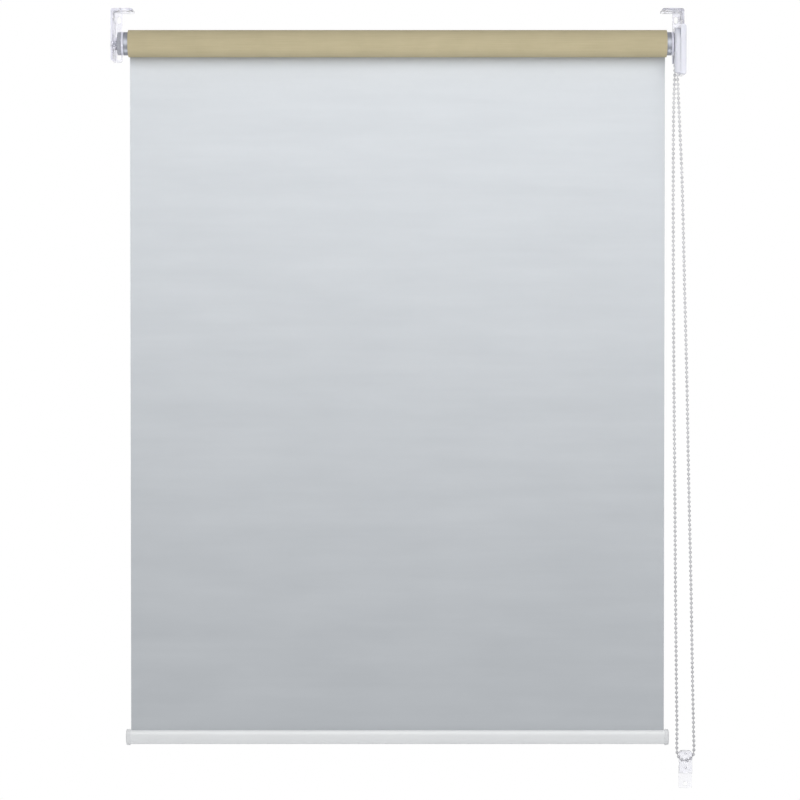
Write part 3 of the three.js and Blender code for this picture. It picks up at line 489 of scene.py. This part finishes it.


# Painted shade on a moulding's rounded edges: a grey, partly clear skin that stands in for the dark lines
# which bent light makes at a clear part's edges
def painted_edge_shade():
    material, tree = new_tree("painted_edge_shade")
    flow = noise(tree, object_place(tree), scale=900.0, detail=2.0)
    return finish_material(material, tree, {
        "Base Color": mottled(tree, flow, PAINTED_EDGE_SHADE_TONES),
        "Roughness": spread(tree, flow, low=0.2, high=0.3),
        "IOR": 1.4,
        "Transmission Weight": 0.35,
        "Normal": bump(tree, flow, CLEAR_EDGE_RELIEF, strength=0.2),
    })


# The braided string between the beads
def string_braid():
    material, tree = new_tree("string_braid")
    strands = noise(tree, object_place(tree, (1.0, 1.0, 0.5)), scale=3000.0, detail=2.0)
    return finish_material(material, tree, {
        "Base Color": mottled(tree, strands, BRAID_TONES),
        "Roughness": 0.75,
        "Normal": bump(tree, strands, BRAID_RELIEF, strength=0.6),
    })


# Meshes
def add_mesh(name, vertices, faces, materials, body, slot, nodes=(), face_materials=None):
    mesh = bpy.data.meshes.new(name)
    mesh.from_pydata([tuple(v) for v in vertices], [], faces)
    for material in materials:
        mesh.materials.append(material)
    if face_materials is not None:
        mesh.polygons.foreach_set("material_index", face_materials)
    edit = bmesh.new()
    edit.from_mesh(mesh)
    bmesh.ops.recalc_face_normals(edit, faces=edit.faces)
    edit.to_mesh(mesh)
    edit.free()
    mesh.update()
    mesh.shade_smooth()
    mesh.set_sharp_from_angle(angle=SMOOTH_ANGLE)
    obj = bpy.data.objects.new(name, mesh)
    bpy.context.scene.collection.objects.link(obj)
    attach(obj, body)
    if nodes:
        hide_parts(*nodes)
    return obj


# A CAD solid's shape with its edges rounded, as a mould leaves them
def moulded(node, name, body, material, edge=SOFT_EDGE, edge_material=None):
    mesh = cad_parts[node].data.copy()
    mesh.materials.clear()
    mesh.materials.append(material)
    edit = bmesh.new()
    edit.from_mesh(mesh)
    bmesh.ops.remove_doubles(edit, verts=edit.verts, dist=WELD)
    bmesh.ops.dissolve_limit(edit, angle_limit=FLAT_ANGLE, verts=edit.verts, edges=edit.edges)
    edit.to_mesh(mesh)
    edit.free()
    mesh.shade_smooth()
    obj = bpy.data.objects.new(name, mesh)
    bpy.context.scene.collection.objects.link(obj)
    bevel = obj.modifiers.new("edges", "BEVEL")
    bevel.width = edge
    bevel.segments = BEVEL_SEGMENTS
    bevel.limit_method = "ANGLE"
    bevel.angle_limit = EDGE_ANGLE
    bevel.harden_normals = True
    # Painted shade: the rounded edges can take a darker material of their own
    if edge_material is not None:
        mesh.materials.append(edge_material)
        bevel.material = len(mesh.materials) - 1
    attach(obj, body)
    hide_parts(node)
    return obj


# Faces between neighbouring rings of points, each ring with as many points
def ring_faces(rings, count):
    faces = []
    for i in range(rings - 1):
        for j in range(count):
            a, b = i * count + j, i * count + (j + 1) % count
            faces.append((a, b, b + count, a + count))
    return faces


def end_faces(rings, count):
    return [tuple(range(count)), tuple(range((rings - 1) * count, rings * count))]


# A profile turned about the roller axis: a closed loop of (x, radius, relief share)
def revolved(name, profile, angles, relief, *rest):
    vertices = []
    for x, radius, share in profile:
        for angle in angles:
            reach = radius - share * relief(angle)
            vertices.append((x, reach * math.cos(angle), AXIS_Z + reach * math.sin(angle)))
    total = len(vertices)
    faces = [tuple(v % total for v in face) for face in ring_faces(len(profile) + 1, len(angles))]
    return add_mesh(name, vertices, faces, *rest)


# Upright outlines along X: each section is (x, outline) and all outlines have as many points
def lofted(name, sections, *rest):
    count = len(sections[0][1])
    vertices = [(x, y, z) for x, outline in sections for y, z in outline]
    faces = ring_faces(len(sections), count) + end_faces(len(sections), count)
    return add_mesh(name, vertices, faces, *rest)


# Directions across a line of points, which turn with it and don't twist about it
def frames_along(points):
    tangents = np.gradient(points, axis=0)
    tangents /= np.linalg.norm(tangents, axis=1)[:, None]
    side = np.cross(tangents[0], SIDE_HINT)
    sides = []
    for tangent in tangents:
        side = side - tangent * np.dot(side, tangent)
        side = side / np.linalg.norm(side)
        sides.append(side)
    sides = np.array(sides)
    return sides, np.cross(tangents, sides)


# A round section swept along points, with a radius at each
def swept(points, radii, sides):
    across, over = frames_along(points)
    angles = np.arange(sides) * WHOLE_TURN / sides
    wheel = np.cos(angles)[None, :, None] * across[:, None, :]
    wheel = wheel + np.sin(angles)[None, :, None] * over[:, None, :]
    rings = points[:, None, :] + wheel * np.asarray(radii)[:, None, None]
    return rings.reshape(-1, 3), ring_faces(len(points), sides) + end_faces(len(points), sides)


# A centripetal curve through points
def curve_through(points, steps):
    points = [np.array(p, float) for p in points]
    padded = [2 * points[0] - points[1], *points, 2 * points[-1] - points[-2]]
    found = []
    for p0, p1, p2, p3 in zip(padded, padded[1:], padded[2:], padded[3:]):
        d0, d1, d2 = (math.sqrt(np.linalg.norm(b - a)) for a, b in ((p0, p1), (p1, p2), (p2, p3)))
        t1 = ((p1 - p0) / d0 - (p2 - p0) / (d0 + d1) + (p2 - p1) / d1) * d1
        t2 = ((p2 - p1) / d1 - (p3 - p1) / (d1 + d2) + (p3 - p2) / d2) * d1
        squared = 3 * (p2 - p1) - 2 * t1 - t2
        cubed = 2 * (p1 - p2) + t1 + t2
        for k in range(steps):
            t = k / steps
            found.append(p1 + t1 * t + squared * t**2 + cubed * t**3)
    found.append(points[-1])
    return np.array(found)


def distances(points):
    return np.concatenate([[0], np.cumsum(np.linalg.norm(np.diff(points, axis=0), axis=1))])


def places_along(points, wanted):
    run = distances(points)
    return np.stack([np.interp(wanted, run, points[:, k]) for k in range(3)], axis=1)


# Beads moulded on a string: one skin whose radius follows each bead's outline, and the string between them
def beaded(name, line, middles, materials, nodes):
    half = [(s * BEAD_RADIUS, r * BEAD_RADIUS) for s, r in BEAD_PROFILE_SHARES]
    stations = [(0.0, STRING_RADIUS)]
    for middle in middles:
        stations += [(middle - s, r) for s, r in reversed(half)]
        stations += [(middle + s, r) for s, r in half[1:]]
    stations.append((distances(line)[-1], STRING_RADIUS))
    points = places_along(line, [s for s, _ in stations])
    vertices, faces = swept(points, [r for _, r in stations], CHAIN_SIDES)
    per_bead = 2 * len(half) - 1
    marks = []
    for i in range(len(stations) - 1):
        marks += [STRING_SKIN if i % per_bead == 0 else BEAD_SKIN] * CHAIN_SIDES
    marks += [STRING_SKIN, STRING_SKIN]
    return add_mesh(name, vertices, faces, materials, "frame", "bead_plastic", nodes, marks)


def free_chain(materials):
    line = curve_through(CHAIN_ROUTE, ROUTE_STEPS)
    length = distances(line)[-1]
    count = round((length - FIRST_BEAD - LAST_BEAD) / BEAD_PITCH) + 1
    middles = np.linspace(FIRST_BEAD, length - LAST_BEAD, count)
    return beaded("beaded_chain", line, middles, materials, ["bead_chain"]), line


# The stretch inside the housing: up from the near chute, over the wheel and down to the far chute
def held_chain(materials):
    line = [(WHEEL_PLANE, -PITCH_RADIUS, AXIS_Z - NEAR_CHUTE_DROP)]
    for a in np.linspace(math.pi, 0, HELD_STEPS + 1):
        line.append((WHEEL_PLANE, PITCH_RADIUS * math.cos(a), AXIS_Z + PITCH_RADIUS * math.sin(a)))
    line.append((WHEEL_PLANE, PITCH_RADIUS, AXIS_Z - FAR_CHUTE_DROP))
    line = np.array(line)
    first = NEAR_CHUTE_DROP % BEAD_PITCH
    count = int((distances(line)[-1] - first) // BEAD_PITCH) + 1
    middles = [first + i * BEAD_PITCH for i in range(count)]
    return beaded("beads_over_wheel", line, middles, materials, ["chain_over_wheel"])


# Cloth between two grids of points, with its cut edges closed
def slab(name, near, far, lengths, materials, body, slot, nodes=()):
    rows, columns = near.shape[:2]
    back = rows * columns
    vertices = np.concatenate([near.reshape(-1, 3), far.reshape(-1, 3)])

    def spot(i, j):
        return i * columns + j

    faces, marks = [], []
    for i in range(rows - 1):
        for j in range(columns - 1):
            ring = (spot(i, j), spot(i, j + 1), spot(i + 1, j + 1), spot(i + 1, j))
            faces += [ring, tuple(v + back for v in reversed(ring))]
            marks += [NEAR_SKIN, FAR_SKIN]
    border = [spot(0, j) for j in range(columns)]
    border += [spot(i, columns - 1) for i in range(1, rows)]
    border += [spot(rows - 1, j) for j in reversed(range(columns - 1))]
    border += [spot(i, 0) for i in reversed(range(1, rows - 1))]
    for a, b in zip(border, border[1:] + border[:1]):
        faces.append((b, a, a + back, b + back))
        marks.append(CUT_SKIN)
    obj = add_mesh(name, vertices, faces, materials, body, slot, nodes, marks)
    across = np.tile(near[0, :, 0], rows)
    along = np.repeat(lengths, columns)
    layer = obj.data.uv_layers.new(name="cloth")
    for loop in obj.data.loops:
        v = loop.vertex_index % back
        layer.data[loop.index].uv = (across[v], along[v])
    return obj


def sheet_wave(x, z):
    down_share = min(1.0, max(0.0, (AXIS_Z - z) / (AXIS_Z - SHEET_LOW.z)))
    wave = 0.0
    for share, across, across_start, down, down_start in CLOTH_SWELLS:
        wave += share * math.sin(across * x + across_start) * math.sin(down * z + down_start)
    for share, down, sway, across, across_start in CLOTH_CREASES:
        wave += share * math.sin(down * z + sway * math.sin(across * x + across_start))
    return SHEET_WAVE * math.sqrt(math.sin(math.pi * down_share)) * wave


def hanging_sheet(materials):
    xs = np.linspace(-FABRIC_EDGE, FABRIC_EDGE, SHEET_COLUMNS)
    zs = np.linspace(SHEET_HIGH.z, SHEET_LOW.z, SHEET_ROWS)
    middle = np.array([[(x, SHEET_MIDDLE + sheet_wave(x, z), z) for x in xs] for z in zs])
    near, far = middle.copy(), middle.copy()
    near[:, :, 1] -= CLOTH_HALF
    far[:, :, 1] += CLOTH_HALF
    return slab("hanging_sheet", near, far, -zs, materials, "frame", "silver_coating", ["fabric_panel"])


# A stretch of cloth wound about the roller axis: angle and middle radius at each row
def wound(name, angles, radii, half, start, materials, body, nodes=()):
    xs = np.linspace(-FABRIC_EDGE, FABRIC_EDGE, SHEET_COLUMNS)

    def surface(offset):
        return np.array([
            [(x, (r + offset) * math.cos(a), AXIS_Z + (r + offset) * math.sin(a)) for x in xs]
            for a, r in zip(angles, radii)
        ])

    steps = np.abs(np.diff(angles)) * (radii[1:] + radii[:-1]) / 2
    lengths = start - np.concatenate([[0], np.cumsum(steps)])
    return slab(name, surface(-half), surface(half), lengths, materials, body, "beige_fabric", nodes)


# The turn that the sheet leaves, which keeps still with the sheet
def outer_turn(materials):
    leaving = (SHEET_HIGH.z - AXIS_Z) / SHEET_MIDDLE
    angles = np.linspace(leaving, WHOLE_TURN, ROLL_STEPS + 1)
    radii = SHEET_MIDDLE - ROLL_PINCH * (angles - leaving) / WHOLE_TURN
    return wound("cloth_over_roll", angles, radii, CLOTH_HALF, -SHEET_HIGH.z, materials, "frame")


def inner_turns(materials):
    angles = np.linspace(0, INNER_TURNS * WHOLE_TURN, INNER_TURNS * ROLL_STEPS + 1)
    radii = np.linspace(INNER_ROLL_OUTER, INNER_ROLL_INNER, len(angles))
    return wound("wound_turns", angles, radii, INNER_CLOTH_HALF, 0.0, materials, "roller", ["fabric_roll"])


# The depth of the seam at an angle: nearly flat over its width, with steep sides
def seam(angle):
    return SEAM_HEIGHT * max(0.0, 1.0 - (abs(angle - SEAM_MIDDLE) / SEAM_ANGLE)**SEAM_SQUARENESS)


# The tube, its folded seam inside and the groove that the seam leaves outside
def tube(material):
    step = WHOLE_TURN / TUBE_STEPS
    seam_ends = [SEAM_MIDDLE - SEAM_ANGLE, SEAM_MIDDLE + SEAM_ANGLE]
    angles = sorted([i * step for i in range(TUBE_STEPS)] + seam_ends)
    groove_share = SEAM_GROOVE / SEAM_HEIGHT
    inner = TUBE_RADIUS - TUBE_WALL
    outside = [(TUBE_END - TUBE_EDGE, TUBE_RADIUS), (TUBE_END, TUBE_RADIUS - TUBE_EDGE)]
    inside = [(TUBE_END, inner + TUBE_EDGE), (TUBE_END - TUBE_EDGE, inner)]
    profile = [(-x, radius, groove_share) for x, radius in reversed(outside)]
    profile += [(x, radius, groove_share) for x, radius in outside]
    profile += [(x, radius, 1.0) for x, radius in inside]
    profile += [(-x, radius, 1.0) for x, radius in reversed(inside)]
    return revolved("steel_tube", profile, angles, seam, [material], "roller", "tube_steel", ["roller_tube"])


# The depth of the flutes at an angle: none at a ridge and the most between two ridges
def flute(angle):
    wave = math.cos(FLUTES * angle) * FLUTE_SHARPNESS
    return FLUTE_DEPTH * (0.5 - 0.5 * math.tanh(wave) / math.tanh(FLUTE_SHARPNESS))


# The fluted wheel, from its dished face to the end of its hub
def adjuster(material):
    steps = FLUTES * FLUTE_POINTS
    angles = [i * WHOLE_TURN / steps for i in range(steps)]
    rim = ADJUSTER_RADIUS
    dish = ADJUSTER_OUTER - ADJUSTER_DISH
    profile = [
        (-dish, ADJUSTER_BORE, 0), (-dish, rim - DISH_RIM, 0),
        (-ADJUSTER_OUTER, rim - FACE_RIM, 0.5), (-ADJUSTER_OUTER, rim - ADJUSTER_EDGE, 1),
        (-ADJUSTER_OUTER + ADJUSTER_EDGE, rim, 1), (-ADJUSTER_INNER - ADJUSTER_EDGE, rim, 1),
        (-ADJUSTER_INNER, rim - ADJUSTER_EDGE, 1), (-ADJUSTER_INNER, HUB_RADIUS, 0),
        (-RIDGE_START, HUB_RADIUS, 0), (-RIDGE_START + RIDGE_WIDTH / 2, HUB_RADIUS + RIDGE_HEIGHT, 0),
        (-RIDGE_START + RIDGE_WIDTH, HUB_RADIUS, 0), (-HUB_END - ADJUSTER_EDGE, HUB_RADIUS, 0),
        (-HUB_END, HUB_RADIUS - ADJUSTER_EDGE, 0), (-HUB_END, ADJUSTER_BORE, 0),
    ]
    return revolved("fluted_wheel", profile, angles, flute, [material], "adjuster", "grey_plastic",
                    ["adjuster_wheel"])


# Points of an oval about the bar's middle, from one angle off the top to another
def oval(half_y, half_z, angles):
    return [(SHEET_MIDDLE + half_y * math.sin(a), BAR_Z + half_z * math.cos(a)) for a in angles]


# The bottom bar: an oval tube, open along its top where the hem goes in
def bottom_bar(material):
    outer_lip = math.asin(BAR_SLOT_HALF / BAR_HALF_Y)
    inner_lip = math.asin(BAR_SLOT_HALF / (BAR_HALF_Y - BAR_WALL))
    outer_angles = np.linspace(outer_lip, WHOLE_TURN - outer_lip, BAR_STEPS)
    inner_angles = np.linspace(WHOLE_TURN - inner_lip, inner_lip, BAR_STEPS)

    def section(inset):
        wall = BAR_WALL - inset
        outer = oval(BAR_HALF_Y - inset, BAR_HALF_Z - inset, outer_angles)
        return outer + oval(BAR_HALF_Y - wall, BAR_HALF_Z - wall, inner_angles)

    sections = [
        (BAR_LOW.x, section(FINE_EDGE)), (BAR_LOW.x + FINE_EDGE, section(0)),
        (BAR_HIGH.x - FINE_EDGE, section(0)), (BAR_HIGH.x, section(FINE_EDGE)),
    ]
    return lofted("oval_bar", sections, [material], "hem_bar", "white_coated", ["bottom_bar"])


# A cap: an oval plug with a rounded corner and a low crown; side is -1 at the left end and 1 at the right
def cap(side, node, material):
    half_y, half_z = BAR_HALF_Y + CAP_PROUD, BAR_HALF_Z + CAP_PROUD
    start = BAR_HIGH.x + CAP_SEAT
    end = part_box("bar_cap_right")[1].x
    edge_share = 1 - CAP_CORNER / half_y
    shoulder = end - CAP_CROWN * edge_share**2 - CAP_CORNER
    rows = [(start, 1 - FINE_EDGE / half_y), (start + FINE_EDGE, 1.0)]
    for a in np.linspace(0, math.pi / 2, CAP_CORNER_STEPS + 1):
        rows.append((shoulder + CAP_CORNER * math.sin(a), 1 - (1 - math.cos(a)) * (1 - edge_share)))
    for crown_share in CAP_CROWN_SHARES:
        share = crown_share * edge_share
        rows.append((end - CAP_CROWN * share**2, share))
    turn = np.linspace(0, WHOLE_TURN, CAP_STEPS, endpoint=False)
    sections = [(side * x, oval(half_y * share, half_z * share, turn)) for x, share in rows]
    return lofted(node + "_domed", sections, [material], "hem_bar", "white_plastic", [node])


# A wrap spring: turns of wire about the spindle with both ends turned out
def brake_spring(node, name, material):
    low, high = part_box(node)
    middle = (low.x + high.x) / 2

    def spot(share, radius, lean):
        angle = SPRING_START + share * SPRING_SWEEP + lean
        x = middle + (share - 0.5) * SPRING_LENGTH
        return (x, radius * math.cos(angle), AXIS_Z + radius * math.sin(angle))

    tip = SPRING_MEAN + SPRING_TANG
    bend = SPRING_MEAN + SPRING_TANG * SPRING_TANG_BEND_SHARE
    points = [spot(0, tip, -SPRING_LEAN), spot(0, bend, -SPRING_LEAN)]
    points += [spot(i / SPRING_STEPS, SPRING_MEAN, 0) for i in range(SPRING_STEPS + 1)]
    points += [spot(1, bend, SPRING_LEAN), spot(1, tip, SPRING_LEAN)]
    line = curve_through(points, SPRING_CURVE_STEPS)
    vertices, faces = swept(line, np.full(len(line), SPRING_WIRE), SPRING_SIDES)
    return add_mesh(name, vertices, faces, [material], "roller", "spring_steel", [node])


# Rays that see the background as white: from the camera, off gloss and through clear plastic
def shown_rays(tree):
    path = add(tree, "ShaderNodeLightPath")
    seen = math_node(tree, "MAXIMUM", path.outputs["Is Camera Ray"], path.outputs["Is Glossy Ray"])
    return math_node(tree, "MAXIMUM", seen, path.outputs["Is Transmission Ray"])


def floor_white():
    material, tree = new_tree("floor_white")
    matt = add(tree, "ShaderNodeBsdfDiffuse", {"Color": rgba(FLOOR_COLOR)})
    white = add(tree, "ShaderNodeEmission", {"Color": rgba(WHITE), "Strength": 1.0})
    place = add(tree, "ShaderNodeTexCoord")
    away = add(tree, "ShaderNodeVectorMath", {0: place.outputs["Object"]}, operation="LENGTH")
    fade = add(tree, "ShaderNodeMapRange", {
        "Value": away.outputs["Value"], "From Min": FLOOR_FADE_START, "From Max": FLOOR_FADE_END,
        "To Min": FLOOR_SHOWN_WHITE, "To Max": 1.0,
    })
    share = math_node(tree, "MULTIPLY", shown_rays(tree), fade.outputs["Result"])
    mix = add(tree, "ShaderNodeMixShader", {0: share, 1: matt.outputs[0], 2: white.outputs[0]})
    add(tree, "ShaderNodeOutputMaterial", {"Surface": mix.outputs[0]})
    return material


def make_floor():
    half = FLOOR_HALF
    corners = [(-half, -half, 0), (half, -half, 0), (half, half, 0), (-half, half, 0)]
    mesh = bpy.data.meshes.new("floor")
    mesh.from_pydata(corners, [], [(0, 1, 2, 3)])
    mesh.materials.append(floor_white())
    floor = bpy.data.objects.new("floor", mesh)
    floor.location.z = FLOOR_Z
    bpy.context.scene.collection.objects.link(floor)


def make_world():
    world = bpy.data.worlds.new("world")
    world.use_nodes = True
    tree = world.node_tree
    tree.nodes.clear()
    place = add(tree, "ShaderNodeTexCoord")
    parts = add(tree, "ShaderNodeSeparateXYZ", {"Vector": place.outputs["Generated"]})
    level = add(tree, "ShaderNodeMapRange", {
        "Value": parts.outputs["Z"], "From Min": WORLD_LOW_SLOPE, "From Max": WORLD_HIGH_SLOPE,
        "To Min": WORLD_LOW_LEVEL, "To Max": WORLD_HIGH_LEVEL,
    })
    behind = math_node(tree, "MAXIMUM", parts.outputs["Y"], 0.0)
    gain = math_node(tree, "ADD", math_node(tree, "MULTIPLY", behind, WORLD_BACK_GAIN), 1.0)
    strength = math_node(tree, "MULTIPLY", level.outputs["Result"], gain)
    dim = add(tree, "ShaderNodeBackground", {"Color": rgba(WORLD_TINT), "Strength": strength})
    white = add(tree, "ShaderNodeBackground", {"Color": rgba(WHITE), "Strength": 1.0})
    mix = add(tree, "ShaderNodeMixShader", {0: shown_rays(tree), 1: dim.outputs[0], 2: white.outputs[0]})
    add(tree, "ShaderNodeOutputWorld", {"Surface": mix.outputs[0]})
    bpy.context.scene.world = world


def make_lamp(name, place, target, size, power, beam=math.pi):
    data = bpy.data.lights.new(name, "AREA")
    data.shape = "RECTANGLE"
    data.size, data.size_y = size
    data.energy = power
    data.spread = beam
    data.color = LAMP_COLOR
    lamp = bpy.data.objects.new(name, data)
    lamp.location = place
    aim = Vector(target) - Vector(place)
    lamp.rotation_euler = aim.to_track_quat("-Z", "Y").to_euler()
    bpy.context.scene.collection.objects.link(lamp)


# Stage
bpy.context.scene.view_settings.view_transform = "Standard"
make_camera()
make_floor()
make_world()
make_lamp("lamp", LAMP_PLACE, LAMP_TARGET, LAMP_SIZE, LAMP_POWER)
make_lamp("card", CARD_PLACE, CARD_TARGET, CARD_SIZE, CARD_POWER)
make_lamp("low_lamp", LOW_LAMP_PLACE, LOW_LAMP_TARGET, LOW_LAMP_SIZE, LOW_LAMP_POWER, LOW_LAMP_BEAM)

# Materials
cloth = [silver_coating(), beige_weave(), cut_edge()]
steel = tube_steel()
spring = spring_steel()
white_acetal = moulded_plastic("white_acetal", WHITE_ACETAL_TONES, smoothest=0.31, roughest=0.42)
grey_acetal = moulded_plastic("grey_acetal", GREY_ACETAL_TONES, smoothest=0.35, roughest=0.46)
pale_acetal = moulded_plastic("pale_acetal", PALE_ACETAL_TONES, smoothest=0.3, roughest=0.41)
# Painted light: a lighter copy of the pale acetal for the parts inside the housing
wheel_acetal_painted_light = moulded_plastic("wheel_acetal_painted_light", WHEEL_ACETAL_PAINTED_LIGHT_TONES, smoothest=0.3, roughest=0.41)
powder = white_powder()
clear_bracket = clear_plastic("clear_bracket", BRACKET_TONES, clearness=0.88, bending=1.36, density=5.0)
clear_housing = clear_plastic("clear_housing", HOUSING_TONES, clearness=0.32, bending=1.33, density=2.5)
clear_tensioner = clear_plastic("clear_tensioner", TENSIONER_TONES, clearness=0.96, bending=1.5, density=1.5)
# Painted shade for the clear mouldings' rounded edges
painted_edge_shade_material = painted_edge_shade()
bead_plastic = moulded_plastic("bead_plastic", BEAD_TONES, smoothest=0.11, roughest=0.22)
beads_on_string = [bead_plastic, string_braid()]

# Chain and cloth
chain, chain_line = free_chain(beads_on_string)
held_chain(beads_on_string)
sheet = hanging_sheet(cloth)
outer_turn(cloth)
inner_turns(cloth)

# Tube, adjuster, bar and springs
tube(steel)
adjuster(grey_acetal)
bottom_bar(powder)
cap(-1, "bar_cap_left", white_acetal)
cap(1, "bar_cap_right", white_acetal)
moulded("insert_strip", "hem_strip", "hem_bar", white_acetal)
brake_spring("brake_spring_outer", "wrap_spring_outer", spring)
brake_spring("brake_spring_inner", "wrap_spring_inner", spring)

# Clear mouldings
# Brackets and tensioner: their rounded edges take the painted edge shade
for node in ("bracket_left", "bracket_right"):
    moulded(node, "clear_" + node, "frame", clear_bracket, CLEAR_EDGE, painted_edge_shade_material)
for node in ("carrier_inner_wall", "carrier_outer_shell", "chain_housing", "chain_housing_face"):
    moulded(node, "clear_" + node, "frame", clear_housing)
back, front = [
    moulded(node, "clear_" + node, "frame", clear_tensioner, TENSIONER_EDGE, painted_edge_shade_material)
    for node in ("tensioner_back", "tensioner_front")
]

# Mouldings and metal parts inside
# The wheel and the spindle take the acetal with painted light
moulded("chain_wheel", "pocket_wheel", "roller", wheel_acetal_painted_light)
moulded("drive_core", "tube_drive_core", "roller", pale_acetal)
moulded("idle_plug", "tube_idle_plug", "roller", pale_acetal)
moulded("clutch_spindle", "fixed_spindle", "frame", wheel_acetal_painted_light)
moulded("spindle_clip", "spring_clip", "frame", spring, FINE_EDGE)
moulded("spindle_screw", "washer_screw", "frame", spring, FINE_EDGE)
moulded("idle_pin", "sliding_pin", "pin", spring)

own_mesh(sheet)
